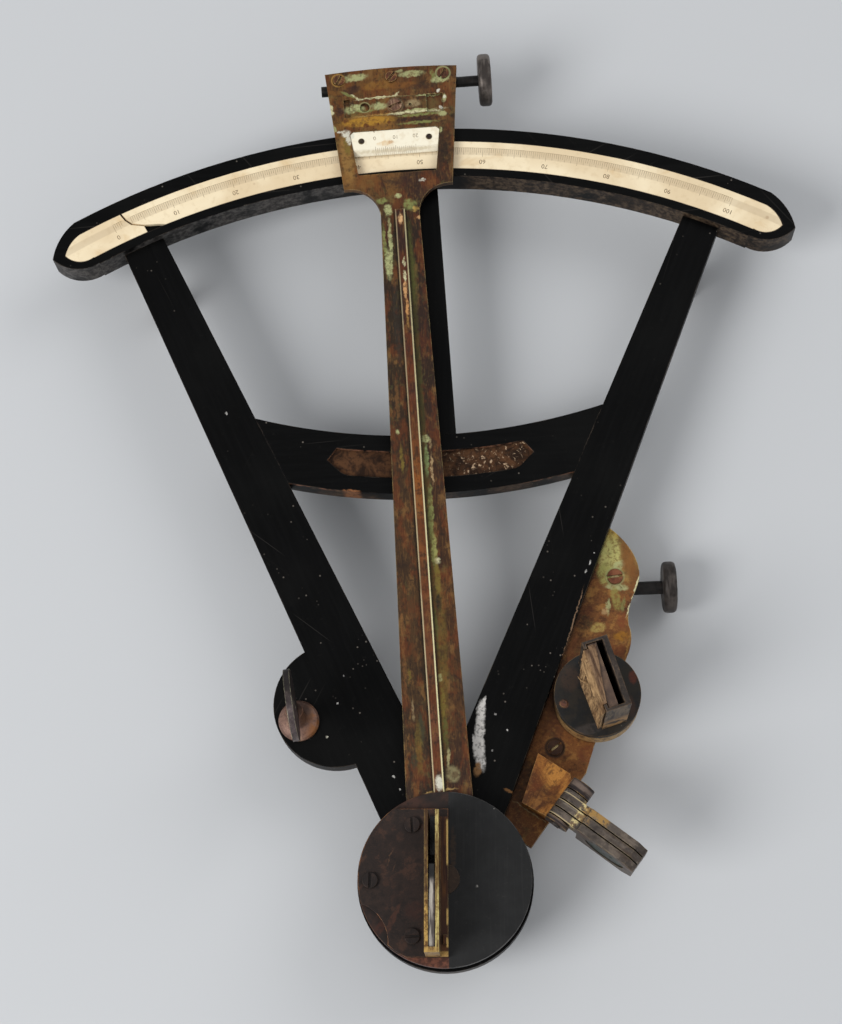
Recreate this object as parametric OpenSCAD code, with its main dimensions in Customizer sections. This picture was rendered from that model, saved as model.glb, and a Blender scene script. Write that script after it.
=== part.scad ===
// Octant of the sextant family: an ebony frame with an ivory scale, a brass index arm with
// vernier, tangent screw and clamp, an index mirror over the pivot, and on the right limb a
// horizon mirror, its adjusting screw and three hinged shades. A round sight stands on the
// left limb. The scale's middle is on +Y, its zero on the left, and +Z points up.
// The origin is on the pivot axis, under the foot that covers the pivot, in the plane that the
// three feet stand on.
// Angles along the arc are counted clockwise from +Y; the index arm rests off the middle.

/* [Frame] */
// Radius of the circle that the scale's numbers stand on
scale_r = 232; // [225:0.5:240]
// How far the arc's inner rim lies inside that circle
arc_inside = 5.2; // [4.4:0.1:8]
// Width of the arc
arc_w = 16.8; // [16:0.1:20]
// Thickness of the arc
arc_t = 10.4; // [9.4:0.1:12]
// Thickness of the limbs, crossbar and strut
limb_t = 7.4; // [6.5:0.1:8.4]
// Angle from the middle to each tip of the arc
tip_a = 30.4; // [29.8:0.1:33]
// Lean of the left limb's outer edge
limb_lean = 22.7; // [22:0.1:23.2]
// Distance of that edge's line from the pivot axis
limb_off = 9.9; // [9:0.1:10.5]
// Lean of the right limb's outer edge
right_lean = 22.4; // [22:0.1:23.2]
// Distance of that edge's line from the pivot axis
right_off = 9.6; // [9:0.1:10.5]
// Lean of the limbs' inner edges
inner_lean = 24.9; // [24.5:0.1:25.4]
// Height of the crotch between the limbs above the pivot
crotch_y = 29.5; // [28:0.5:32]
// Radius of the round head about the pivot
head_r = 26.4; // [25:0.1:28]
// Radius of the round ear on the left limb
ear_r = 19.2; // [18:0.1:21]
// Centre of the ear, towards the left
ear_x = -31.5; // [-33:0.5:-30]
// Centre of the ear, along the frame
ear_y = 55; // [53:0.5:58]

/* [Crossbar and strut] */
// Lower edge of the crossbar at the middle
bar_y = 121; // [110:1:135]
// Width of the crossbar
bar_w = 19; // [16:0.5:22]
// Radius of the crossbar's curve
bar_r = 195; // [170:5:230]
// Length of the empty recess for a plate
recess_l = 65; // [50:1:70]
// Width of that recess
recess_w = 8.6; // [6:0.2:10]
// Depth of that recess
recess_d = 1.2; // [0.6:0.1:2]
// Width of the strut at the arc
strut_top_w = 10.2; // [9:0.2:13]
// Width of the strut at the crossbar
strut_low_w = 17.4; // [14:0.2:20]

/* [Ivory scale] */
// How far the ivory reaches inside the number circle
ivory_in = 2.4; // [1.8:0.1:3]
// How far the ivory reaches outside the number circle
ivory_out = 7; // [6:0.1:8]
// Angle from the middle to each tip of the ivory
ivory_a = 29.4; // [29:0.1:29.6]
// Thickness of the ivory
ivory_t = 1.5; // [1:0.1:2.5]
// Gap round the inlay
inlay_gap = 0.05; // [0.02:0.01:0.1]

/* [Feet] */
// Height of the feet
foot_h = 18; // [17.6:0.1:22]
// Radius of a foot where it stands
foot_r = 5; // [4:0.1:5.6]
// How far the two upper feet stand inside the arc's inner rim, on the limbs' middle lines
foot_in = 14.3; // [12:0.1:20]
// Radius of the hollow foot under the pivot, where it meets the frame
cap_r = 12; // [11:0.1:12.5]
// Wall of that hollow foot
cap_wall = 2; // [1.4:0.1:2.2]

/* [Pivot] */
// Radius of the pivot's bearing part
shaft_r = 5; // [4.6:0.1:6]
// Radius of the pivot's head in the disc
shaft_head_r = 4.4; // [3.5:0.1:4.5]
// Running clearance of a shaft in its bore
run_fit = 0.04; // [0.02:0.01:0.08]
// Gap between faces that slide past each other
slide_gap = 0.3; // [0.25:0.01:0.35]
// Outer radius of the pivot's socket
socket_r = 7.5; // [6.8:0.1:9]
// Radius of the bearing plate on the frame
pivot_plate_r = 24.5; // [18:0.1:25]
// Radius of the plate on the back of the frame
back_plate_r = 12.8; // [11:0.1:13]
// Thickness of the plate on the back of the frame
back_plate_t = 1.8; // [1.2:0.1:2.4]

/* [Index arm] */
// Angle of the arm at rest, left of the scale's middle
arm_rest = 1.84; // [0:0.01:4]
// Thickness of the arm
arm_t = 2.2; // [1.8:0.1:3]
// Width of the arm beside the disc
arm_low_w = 20.1; // [18:0.1:22]
// Width of the arm below the end plate
arm_top_w = 12.5; // [11:0.1:14]
// Width of the rib on the arm
rib_w = 3.2; // [2:0.1:4]
// Height of the rib on the arm
rib_h = 1.2; // [0.8:0.1:1.6]
// Radius of the round disc over the pivot
disc_r = 25.85; // [25.5:0.05:26]
// Thickness of that disc
disc_t = 3; // [2.5:0.1:4]

/* [End plate] */
// Width of the end plate at its lower corners
end_low_w = 35.2; // [33.6:0.2:36]
// Width of the end plate at its top
end_top_w = 43.4; // [42:0.2:46]
// How far the end plate's lower corners lie inside the number circle
end_low = 9; // [8.4:0.1:10]
// Length of the end plate from its lower corners to its top
end_l = 42; // [40:0.5:43]
// Radius of the hollow shoulders
shoulder_r = 10; // [8:0.1:10.8]
// Width of the window at its lower edge
window_low_w = 25.2; // [24:0.1:27]
// Width of the window at its top
window_top_w = 29.2; // [28.4:0.1:31]
// How far the window's lower edge lies inside the number circle
window_low = 4.3; // [3.8:0.1:5]
// Height of the window
window_h = 15.3; // [14.5:0.1:15.6]
// Height of the ivory vernier in the window
vernier_h = 8; // [7:0.1:9]
// Distance of the vernier's pins from the middle
vernier_pin_x = 11; // [9:0.1:12]

/* [Clamp and tangent screw] */
// Distance of the slide above the number circle
slide_y = 19.4; // [18.8:0.1:20]
// Width of the slide
slide_w = 6.2; // [5:0.1:6.4]
// Length of the slide
slide_l = 25; // [23:0.5:26]
// Length of the slide's channel
channel_l = 32.4; // [32.2:0.1:33]
// Depth of the slide's channel
channel_d = 0.9; // [0.6:0.1:1.2]
// Distance of the tangent screw above the number circle
tangent_y = 29.6; // [29.2:0.1:29.8]
// Depth of the tangent screw's axis below the end plate
tangent_drop = 5.2; // [5:0.1:6]
// Radius of the tangent screw
tangent_r = 1.75; // [1.5:0.05:2]
// Radius of the tangent screw's knob
tangent_knob_r = 8.5; // [7:0.05:9]
// Thickness of the knobs
knob_t = 4.2; // [3.6:0.1:4.6]
// Radius of the clamp screw's knob
clamp_knob_r = 6.5; // [5:0.1:7]
// Height of the clamp screw's knob
clamp_knob_h = 6; // [5:0.1:6.2]
// Radius of the clamp screw
clamp_r = 1.6; // [1.3:0.1:1.8]

/* [Index mirror] */
// Turn of the mirror against the arm
mirror_turn = -3.74; // [-6:0.01:0]
// Thickness of the mirror's base plate
mirror_plate_t = 2; // [1.5:0.1:3]
// Length of the mirror frame
mirror_l = 40.8; // [38:0.1:41]
// Height of the mirror frame
mirror_h = 16.6; // [12:0.1:20]
// Thickness of the mirror frame
mirror_w = 4.3; // [4:0.1:5]
// Wall of the mirror frame
mirror_wall = 1.1; // [0.9:0.05:1.2]
// Thickness of the index mirror's glass
mirror_glass_t = 1.7; // [1.4:0.1:1.9]

/* [Horizon mirror] */
// Thickness of the plate behind the right limb
side_plate_t = 3; // [2.5:0.1:3.2]
// Horizon mirror's axis, towards the right
horizon_x = 48.2; // [48:0.1:50]
// Horizon mirror's axis, along the frame
horizon_y = 54.8; // [54:0.1:55]
// Radius of the horizon mirror's disc
horizon_r = 13.2; // [12:0.1:13.3]
// Thickness of that disc
horizon_disc_t = 2.5; // [2:0.1:2.5]
// Radius of the horizon mirror's stem
stem_r = 3; // [2.5:0.1:3.5]
// Length of the horizon mirror's frame
hm_l = 21.7; // [20:0.1:22]
// Thickness of the horizon mirror's frame
hm_w = 7.8; // [7.6:0.1:8]
// Height of the horizon mirror's frame
hm_h = 28.7; // [24:0.1:30]
// Turn of the horizon mirror against the frame's length
hm_turn = 16.3; // [12:0.1:20]
// Front and end walls of the horizon mirror's frame
hm_wall = 0.9; // [0.7:0.1:1]
// Back wall of the horizon mirror's frame
hm_back = 1.7; // [1.4:0.1:1.9]
// Thickness of the horizon mirror's glass
hm_glass_t = 2.9; // [2.4:0.1:3]
// Thickness of the wood packing in front of that glass
packing_t = 2.9; // [2.4:0.1:3.1]

/* [Adjusting screw] */
// Place of the adjusting screw along the frame
adjust_y = 91.6; // [91:0.1:92]
// Depth of its axis below the plate
adjust_drop = 5.6; // [5.4:0.1:5.8]
// Radius of the adjusting screw
adjust_r = 2.1; // [1.8:0.05:2.1]
// Radius of the adjusting screw's knob
adjust_knob_r = 8.1; // [7:0.05:8.5]
// Thickness of the lever
lever_t = 2.6; // [2:0.1:2.7]
// Width of the lever
lever_w = 7; // [6:0.1:7.4]
// Place of the adjusting nut from the middle
nut_x = 46.8; // [46.6:0.1:47]

/* [Shades] */
// Shade pin's middle, towards the right
shade_x = 37.8; // [37.4:0.1:38.2]
// Shade pin's middle, along the frame
shade_y = 20; // [19.6:0.1:20.4]
// Height of the shade pin above the arc's face
shade_z = 9.5; // [9.2:0.1:11]
// Turn of the shade pin from the frame's length
shade_turn = 38.6; // [37:0.1:39.5]
// Radius of the shade hinge's knuckles
knuckle_r = 3.8; // [3.5:0.05:4.2]
// Radius of the shade pin
shade_pin_r = 1.6; // [1.2:0.1:2]
// Length of the shade hinge
hinge_l = 14.4; // [14:0.1:16]
// Thickness of a shade
shade_t = 2.3; // [1.8:0.1:2.4]
// Distance from one shade to the next
shade_pitch = 2.7; // [2.65:0.01:2.8]
// Reach of a shade from its pin
shade_reach = 26.3; // [25:0.1:27]
// Size of a shade's square frame
shade_size = 18; // [17:0.1:18.5]
// Radius of a shade's glass
shade_glass_r = 6.8; // [5:0.1:7]

/* [Sight] */
// Sight's place towards the left
sight_x = -42.9; // [-43.6:0.1:-42]
// Sight's place along the frame
sight_y = 50.3; // [49.5:0.1:52]
// Radius of the sight's foot
sight_foot_r = 6.2; // [5:0.1:6.3]
// Radius of the sight's round vane
vane_r = 10.7; // [8:0.1:11]
// Height of the vane's middle above the arc's face
vane_z = 23.5; // [16:0.1:24]
// Thickness of the vane
vane_t = 1.9; // [1.4:0.1:2.4]
// Turn of the vane from the frame's length
vane_turn = 6.5; // [0:0.1:8]

/* [Hidden] */
$fn = 96;

// Levels, from the plane the feet stand on
back_z = foot_h;
limb_z = back_z + limb_t;
arc_z = back_z + arc_t;
arm_z = arc_z + slide_gap;
arm_top = arm_z + arm_t;
disc_top = arm_top + disc_t;
mirror_z = disc_top + mirror_plate_t;

// Radii of the arc and its ivory
arc_r1 = scale_r - arc_inside;
arc_r2 = arc_r1 + arc_w;
ivory_r1 = scale_r - ivory_in;
ivory_r2 = scale_r + ivory_out;

// Small shared sizes
cut = 1;
slot_w = 0.8;
slot_d = 0.6;
screw_r = 1.2;

// Colours
ebony = [0.07, 0.065, 0.06];
brass = [0.5, 0.36, 0.17];
dark_brass = [0.3, 0.22, 0.16];
black = [0.12, 0.12, 0.12];
ivory = [0.9, 0.82, 0.66];
steel = [0.25, 0.23, 0.22];
wood = [0.72, 0.56, 0.36];
mirror_glass = [0.62, 0.66, 0.66];
shade_tints = [[0.45, 0.08, 0.06], [0.55, 0.12, 0.06], [0.1, 0.3, 0.14]];

// Point at radius r and clockwise angle a from +Y
function polar(r, a) = [r * sin(a), r * cos(a)];

// Point t along a line that starts at p and leans clockwise by a from +Y
function along(p, a, t) = [p.x + t * sin(a), p.y + t * cos(a)];

// Points of a cubic curve from a to d, guided by b and c
function curve(a, b, c, d, n = 10) = [
  for (i = [0 : n]) let (t = i / n, s = 1 - t)
    s * s * s * a + 3 * s * s * t * b + 3 * s * t * t * c + t * t * t * d
];

module ring2d(r1, r2) {
  difference() {
    circle(r = r2, $fn = 360);
    circle(r = r1, $fn = 360);
  }
}

// Band of a circle between two clockwise angles
module band2d(r1, r2, a1, a2) {
  far = 1.2 * r2;
  intersection() {
    ring2d(r1, r2);
    polygon([[0, 0], polar(far, a1), polar(far, (a1 + a2) / 2), polar(far, a2)]);
  }
}

// Tapered nose of a band, made of a wide outer circle and a smaller inner one
module nose2d(r1, r2, a, outer_r, inner_r, rise) {
  half = (r2 - r1) / 2;
  outer_v = half - outer_r;
  inner_v = inner_r - half;
  intersection() {
    ring2d(r1, r2);
    rotate(-a) translate([0, (r1 + r2) / 2]) intersection() {
      translate([-sqrt(pow(outer_r, 2) - pow(rise - outer_v, 2)), outer_v]) circle(r = outer_r);
      translate([-sqrt(pow(inner_r, 2) - pow(rise - inner_v, 2)), inner_v]) circle(r = inner_r);
    }
  }
}

// Symmetric band with a nose at each end
module nosed_band2d(r1, r2, a, outer_r, inner_r, rise) {
  straight = a - (inner_r + 1) / r2 * 180 / PI;
  band2d(r1, r2, -straight, straight);
  for (side = [0, 1]) mirror([side, 0]) nose2d(r1, r2, a, outer_r, inner_r, rise);
}

// Places children in the resting index arm's own frame
module on_arm() {
  rotate([0, 0, arm_rest]) children();
}

// Places children in the index mirror's own frame, on the arm
module on_mirror() {
  rotate([0, 0, arm_rest + mirror_turn]) children();
}

// Cheese-head screw with a straight slot; its head stands on z = 0 and its shank goes down
module slotted_screw(head_r, head_h, shank_r, shank_l, turn = 0) {
  difference() {
    cylinder(r = head_r, h = head_h);
    rotate(turn) translate([-head_r - cut, -slot_w / 2, head_h - slot_d])
      cube([2 * (head_r + cut), slot_w, slot_d + cut]);
  }
  translate([0, 0, -shank_l]) cylinder(r = shank_r, h = shank_l);
}

// Round knob with a dished face and rounded rims, standing on z = 0
module knob(r, h) {
  rim = 1.2;
  dish = 0.6;
  rotate_extrude() polygon(concat(
    [[0, 0], [r - rim, 0]],
    [for (a = [0 : 30 : 90]) [r - rim + rim * sin(a), rim - rim * cos(a)]],
    [for (a = [0 : 30 : 90]) [r - rim + rim * cos(a), h - rim + rim * sin(a)]],
    [[0.75 * r, h], [0.6 * r, h - dish], [0, h - dish]]
  ));
}

// Frame

limb_far = 1.15 * arc_r1;

// Outline of a right limb, before it is trimmed to the head, with its outer edge's lean and distance
module limb2d(lean, off) {
  outer_base = [off * cos(lean), -off * sin(lean)];
  intersection() {
    polygon([
      [0, crotch_y], [0, 0], outer_base,
      along(outer_base, lean, limb_far),
      along([0, crotch_y], inner_lean, limb_far)
    ]);
    circle(r = arc_r1, $fn = 360);
  }
}

foot_stud_r = 1.5;
foot_stud_l = 5;

// Place of a right foot: the limb's middle line, x = slope * y + shift, crosses the feet's circle
function foot_place(lean, off) =
  let (
    slope = (tan(lean) + tan(inner_lean)) / 2,
    shift = (off / cos(lean) - crotch_y * tan(inner_lean)) / 2,
    root = sqrt(pow(arc_r1 - foot_in, 2) * (1 + pow(slope, 2)) - pow(shift, 2)),
    y = (root - slope * shift) / (1 + pow(slope, 2))
  ) [slope * y + shift, y];

left_foot = foot_place(limb_lean, limb_off);
right_foot = foot_place(right_lean, right_off);
foot_places = [[-left_foot.x, left_foot.y], right_foot];

module foot_holes() {
  for (p = foot_places)
    translate([p.x, p.y, back_z - cut]) cylinder(r = foot_stud_r + inlay_gap, h = foot_stud_l + cut);
}

sight_stud_r = 1.9;

// Round ear of the left limb, which ends at the limb's inner edge
module ear2d() {
  intersection() {
    translate([ear_x, ear_y]) circle(r = ear_r);
    polygon([[0, 0], [0, crotch_y], along([0, crotch_y], -inner_lean, arc_r1), [-arc_r1, arc_r1], [-arc_r1, 0]]);
  }
}

module left_limb() {
  color(ebony) difference() {
    translate([0, 0, back_z]) linear_extrude(limb_t) difference() {
      union() {
        mirror([1, 0]) limb2d(limb_lean, limb_off);
        ear2d();
      }
      circle(r = head_r);
    }
    foot_holes();
    translate([sight_x, sight_y, back_z - cut])
      cylinder(r = sight_stud_r + inlay_gap, h = limb_t + 2 * cut);
  }
}

module right_limb() {
  color(ebony) difference() {
    translate([0, 0, back_z]) linear_extrude(limb_t) union() {
      limb2d(right_lean, right_off);
      circle(r = head_r);
    }
    foot_holes();
    translate([0, 0, back_z - cut]) cylinder(r = socket_r + inlay_gap, h = limb_t + 2 * cut);
    for (p = side_screw_places)
      translate([p.x, p.y, back_z - cut]) cylinder(r = side_screw_r + inlay_gap, h = side_screw_in + cut);
  }
}

// Radii of the circles that shape the ends of the arc and of the ivory
arc_nose = [20, 12, 0.8];
ivory_nose = [12, 7, 0.6];

module graduated_arc() {
  color(ebony) difference() {
    translate([0, 0, back_z]) linear_extrude(arc_t)
      nosed_band2d(arc_r1, arc_r2, tip_a, arc_nose[0], arc_nose[1], arc_nose[2]);
    translate([0, 0, arc_z - ivory_t - inlay_gap]) linear_extrude(ivory_t + cut)
      nosed_band2d(ivory_r1 - inlay_gap, ivory_r2 + inlay_gap, ivory_a + inlay_gap,
        ivory_nose[0], ivory_nose[1], ivory_nose[2]);
  }
}

// Crossbar's outline, running on under the limbs
module bar2d() {
  difference() {
    translate([0, bar_y + bar_r]) circle(r = bar_r, $fn = 360);
    translate([0, bar_y + bar_w + bar_r]) circle(r = bar_r, $fn = 360);
  }
}

// Outline of the empty recess, with pointed ends
module recess2d() {
  half = recess_l / 2;
  point = recess_w / 2;
  intersection() {
    translate([0, (bar_w - recess_w) / 2]) difference() {
      translate([0, bar_y + bar_r]) circle(r = bar_r, $fn = 360);
      translate([0, bar_y + recess_w + bar_r]) circle(r = bar_r, $fn = 360);
    }
    translate([0, bar_y + bar_w / 2 + half * half / 2 / bar_r]) polygon([
      [-half, 0], [point - half, point + 1], [0, bar_w], [half - point, point + 1],
      [half, 0], [half - point, -point], [0, -bar_w], [point - half, -point]
    ]);
  }
}

module crossbar() {
  color(ebony) difference() {
    translate([0, 0, back_z]) linear_extrude(limb_t) intersection() {
      bar2d();
      polygon([[0, crotch_y], along([0, crotch_y], inner_lean, scale_r),
        along([0, crotch_y], -inner_lean, scale_r)]);
    }
    translate([0, 0, limb_z - recess_d]) linear_extrude(recess_d + cut) recess2d();
  }
}

module centre_strut() {
  low = bar_y + bar_w / 2;
  color(ebony) translate([0, 0, back_z]) linear_extrude(limb_t) difference() {
    intersection() {
      polygon([[-strut_low_w / 2, low], [strut_low_w / 2, low],
        [strut_top_w / 2, scale_r], [-strut_top_w / 2, scale_r]]);
      circle(r = arc_r1, $fn = 360);
    }
    bar2d();
  }
}

// Ragged crack across the ivory near its left end, with the chip that fell out beside it
crack = [[8, -24.2], [4.4, -23.98], [2.2, -23.68], [-0.1, -22.78], [-4, -22.7]];
chip = [[-4, -20.3], [-1.3, -21.68], [0.1, -22.62], [2.3, -23.54], [4.4, -23.84], [8, -24.06]];

function scale_points(list) = [for (p = list) polar(scale_r + p[0], p[1])];

module ivory2d() {
  nosed_band2d(ivory_r1, ivory_r2, ivory_a, ivory_nose[0], ivory_nose[1], ivory_nose[2]);
}

module left_of_crack2d() {
  polygon(concat(scale_points(crack), scale_points([[-14, -34], [24, -34]])));
}

module ivory_scale() {
  color(ivory) translate([0, 0, arc_z - ivory_t]) linear_extrude(ivory_t) difference() {
    ivory2d();
    left_of_crack2d();
    polygon(scale_points(concat(crack, chip)));
  }
}

module ivory_scale_end() {
  color(ivory) translate([0, 0, arc_z - ivory_t]) linear_extrude(ivory_t) intersection() {
    ivory2d();
    left_of_crack2d();
  }
}

module frame_feet() {
  flange_r = foot_r + 0.6;
  neck_r = 0.6 * foot_r;
  color(brass) for (p = foot_places) translate([p.x, p.y, 0]) {
    rotate_extrude() polygon(concat(
      [[0, 0], [foot_r - 0.8, 0], [foot_r, 0.8], [foot_r, 2.2]],
      curve([neck_r + 0.8, 4], [neck_r, 6], [neck_r, foot_h - 7], [neck_r + 0.8, foot_h - 4], 8),
      [[flange_r, foot_h - 2], [flange_r, foot_h], [0, foot_h]]
    ));
    translate([0, 0, foot_h - cut]) cylinder(r = foot_stud_r, h = foot_stud_l + cut - inlay_gap);
  }
}

// Pivot

washer_t = 1.5;
washer_r = 8.6;
washer_z = back_z - back_plate_t - slide_gap - washer_t;
pivot_screw_h = 2.4;
pivot_screw_head_r = 4.6;
pivot_screw_r = 2;
pivot_screw_l = 9;

module pivot_plate() {
  color(dark_brass) translate([0, 0, limb_z]) difference() {
    cylinder(r = pivot_plate_r, h = arc_z - limb_z);
    translate([0, 0, -cut]) cylinder(r = socket_r + inlay_gap, h = arc_z - limb_z + 2 * cut);
  }
}

module pivot_socket() {
  color(brass) translate([0, 0, back_z]) difference() {
    cylinder(r = socket_r, h = arc_z - back_z);
    translate([0, 0, -cut]) cylinder(r = shaft_r + run_fit, h = arc_z - back_z + 2 * cut);
  }
}

module pivot_back_plate() {
  color(dark_brass) translate([0, 0, back_z - back_plate_t]) difference() {
    cylinder(r = back_plate_r, h = back_plate_t);
    translate([0, 0, -cut]) cylinder(r = shaft_r + slide_gap, h = back_plate_t + 2 * cut);
  }
}

// Hollow foot that covers the pivot's screw and washer
module pivot_foot() {
  top = back_z - back_plate_t;
  low = washer_z - pivot_screw_h - 2 * slide_gap;
  color(brass) rotate_extrude() polygon(concat(
    [[0, 0], [foot_r + 0.2, 0], [foot_r + 1, 0.8], [foot_r + 1, 2.2]],
    curve([foot_r, 4], [foot_r, 6], [cap_r - 3, low - 1], [cap_r, low + 1], 8),
    [[cap_r, top], [cap_r - cap_wall, top], [cap_r - cap_wall, low], [0, low]]
  ));
}

module pivot_shaft() {
  washer_top = washer_z + washer_t;
  color(dark_brass) difference() {
    union() {
      translate([0, 0, washer_top]) cylinder(r = shaft_r, h = arm_z - washer_top);
      translate([0, 0, arm_z - cut]) cylinder(r = shaft_head_r, h = disc_top + 0.2 - arm_z + cut);
    }
    translate([0, 0, washer_top - cut])
      cylinder(r = pivot_screw_r + inlay_gap, h = pivot_screw_l - washer_t + cut);
  }
}

module pivot_washer() {
  color(brass) translate([0, 0, washer_z]) difference() {
    cylinder(r = washer_r, h = washer_t);
    translate([0, 0, -cut]) cylinder(r = pivot_screw_r + inlay_gap, h = washer_t + 2 * cut);
  }
}

module pivot_screw() {
  color(steel) translate([0, 0, washer_z]) mirror([0, 0, 1])
    slotted_screw(pivot_screw_head_r, pivot_screw_h, pivot_screw_r, pivot_screw_l - inlay_gap, 20);
}

// Index arm

end_y1 = scale_r - end_low;
end_y2 = end_y1 + end_l;
window_y = scale_r - window_low;
vernier_y = window_y + window_h - vernier_h;
window_corner = 1;

// Half width of the window at a height above its lower edge
function window_half(h) = (window_low_w + (window_top_w - window_low_w) * h / window_h) / 2;

// Half width of the arm at a distance from the pivot
function arm_half(y) =
  let (t = (y - disc_r) / (end_y1 - shoulder_r - disc_r))
  (arm_low_w + (arm_top_w - arm_low_w) * t) / 2;

module window2d(grow = 0) {
  w1 = window_half(0) + grow;
  w2 = window_half(window_h) + grow;
  polygon([
    [-w1, window_y - grow], [w1, window_y - grow],
    [w2, window_y + window_h - window_corner], [w2 - window_corner, window_y + window_h + grow],
    [window_corner - w2, window_y + window_h + grow], [-w2, window_y + window_h - window_corner]
  ]);
}

module end_plate2d() {
  hollow_x = arm_half(end_y1 - shoulder_r) + shoulder_r;
  difference() {
    polygon([
      [-hollow_x, end_y1 - shoulder_r], [hollow_x, end_y1 - shoulder_r], [hollow_x, end_y1],
      [end_low_w / 2, end_y1], [end_top_w / 2, end_y2], [-end_top_w / 2, end_y2],
      [-end_low_w / 2, end_y1], [-hollow_x, end_y1]
    ]);
    for (side = [-1, 1]) translate([side * hollow_x, end_y1 - shoulder_r]) circle(r = shoulder_r);
    ring2d(end_y2, 1.2 * end_y2);
  }
}

module bar_of_arm2d() {
  polygon([
    [-arm_half(disc_r), disc_r - 4], [arm_half(disc_r), disc_r - 4],
    [arm_half(end_y1 - shoulder_r), end_y1 - shoulder_r + cut],
    [-arm_half(end_y1 - shoulder_r), end_y1 - shoulder_r + cut]
  ]);
}

slide_c = scale_r + slide_y;
tangent_c = scale_r + tangent_y;
slide_x = -1.5;
channel_x = 0.2;
slide_neck_w = 3;
slide_neck_l = 8;
channel_slot_l = slide_neck_l + channel_l - slide_l;
plate_screw_x = 17;
plate_screw_r = 1.9;
plate_screw_h = 0.5;

module index_arm() {
  color(brass) on_arm() difference() {
    translate([0, 0, arm_z]) linear_extrude(arm_t) difference() {
      union() {
        bar_of_arm2d();
        end_plate2d();
        circle(r = disc_r - 0.6);
      }
      window2d();
    }
    translate([0, 0, arm_z - cut]) cylinder(r = shaft_head_r + inlay_gap, h = arm_t + 2 * cut);
    translate([channel_x - channel_l / 2, slide_c - slide_w / 2 - inlay_gap, arm_top - channel_d])
      cube([channel_l, slide_w + 2 * inlay_gap, channel_d + cut]);
    translate([channel_x - channel_slot_l / 2, slide_c - slide_neck_w / 2 - slide_gap, arm_z - cut])
      cube([channel_slot_l, slide_neck_w + 2 * slide_gap, arm_t + 2 * cut]);
    for (x = [-plate_screw_x, 0, plate_screw_x])
      translate([x, tangent_c, arm_z - cut]) cylinder(r = screw_r + inlay_gap, h = arm_t + 2 * cut);
  }
}

module arm_rib() {
  start = disc_r - 1.2;
  color(brass) on_arm() translate([0, 0, arm_top]) difference() {
    translate([-rib_w / 2, start, 0]) cube([rib_w, end_y1 - shoulder_r + 1.5 - start, rib_h]);
    translate([0, 0, -cut]) cylinder(r = disc_r, h = rib_h + 2 * cut);
  }
}

mirror_screw_y = 16.3;
mirror_screw_x = -9.6;
mirror_screw_left = -22;
mirror_mid_y = -0.6;
mirror_screw_in = 2.4;
mirror_screw_places = [
  [mirror_screw_x, mirror_mid_y + mirror_screw_y],
  [mirror_screw_x, mirror_mid_y - mirror_screw_y],
  [mirror_screw_left, mirror_mid_y]
];
mirror_screw_turns = [96, 2, 88];

module mirror_screw_holes() {
  on_mirror() for (p = mirror_screw_places)
    translate([p.x, p.y, disc_top - mirror_screw_in - cut])
      cylinder(r = screw_r + inlay_gap, h = mirror_screw_in + mirror_plate_t + 2 * cut);
}

module pivot_disc() {
  color(black) difference() {
    translate([0, 0, arm_top]) cylinder(r = disc_r, h = disc_t);
    translate([0, 0, arm_top - cut]) cylinder(r = shaft_head_r + inlay_gap, h = disc_t + 2 * cut);
    mirror_screw_holes();
  }
}

mirror_edge_x = 1.04;
mirror_front_y = -22.9;
mirror_back_y = 20.5;
scallop_r = 11.8;
scallop_x = -28.5;
scallop_y = -18.5;

module mirror_plate() {
  color(dark_brass) difference() {
    on_mirror() translate([0, 0, disc_top]) linear_extrude(mirror_plate_t) difference() {
      intersection() {
        circle(r = disc_r - 0.3);
        translate([-disc_r, mirror_front_y])
          square([disc_r + mirror_edge_x, mirror_back_y - mirror_front_y]);
      }
      translate([scallop_x, scallop_y]) circle(r = scallop_r);
      circle(r = shaft_head_r + slide_gap);
    }
    mirror_screw_holes();
  }
}

module mirror_plate_screws() {
  head_r = 2.3;
  color(dark_brass) on_mirror() for (i = [0 : 2])
    translate([mirror_screw_places[i].x, mirror_screw_places[i].y, mirror_z])
      slotted_screw(head_r, 1, screw_r, mirror_plate_t + mirror_screw_in - inlay_gap, mirror_screw_turns[i]);
}

mirror_x = -1.27 - mirror_w;
mirror_floor = 1.2;
mirror_foot_w = mirror_edge_x - mirror_x - mirror_w;

// Frame of the index mirror: a floor with a foot along its right, two walls and two end posts
module index_mirror_frame() {
  post = 1.6;
  color(brass) on_mirror() translate([mirror_x, mirror_front_y + 0.1, mirror_z]) {
    cube([mirror_w + mirror_foot_w, mirror_l, mirror_floor]);
    for (x = [0, mirror_w - mirror_wall]) translate([x, 0, mirror_floor - 0.1])
      cube([mirror_wall, mirror_l, mirror_h - mirror_floor + 0.1]);
    translate([mirror_wall - 0.1, 0, mirror_floor - 0.1])
      cube([mirror_w - 2 * mirror_wall + 0.2, post, mirror_h - mirror_floor + 0.1]);
    translate([mirror_w + 0.8, 3.6, mirror_floor - 0.1]) cube([1.2, 2.6, 1.2]);
  }
}

// Index mirror's glass, broken away along its upper edge towards the arm
module index_mirror_glass() {
  slot = mirror_w - 2 * mirror_wall;
  post = 1.6;
  length = mirror_l - post;
  low = mirror_floor + inlay_gap;
  high = mirror_h - 0.6;
  color(mirror_glass) on_mirror()
    translate([mirror_x + mirror_wall + (slot - mirror_glass_t) / 2, mirror_front_y + 0.1 + post + inlay_gap, mirror_z])
      rotate([90, 0, 90]) linear_extrude(mirror_glass_t) polygon([
        [0, low], [length - 0.5, low], [length - 0.5, 0.3 * high], [0.82 * length, 0.38 * high],
        [0.7 * length, 0.34 * high], [0.64 * length, 0.55 * high], [0.6 * length, high], [0, high]
      ]);
}

vernier_t = arm_t - 0.2;
vernier_pin_y = 4.6;
vernier_pin_r = 0.95;

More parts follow.
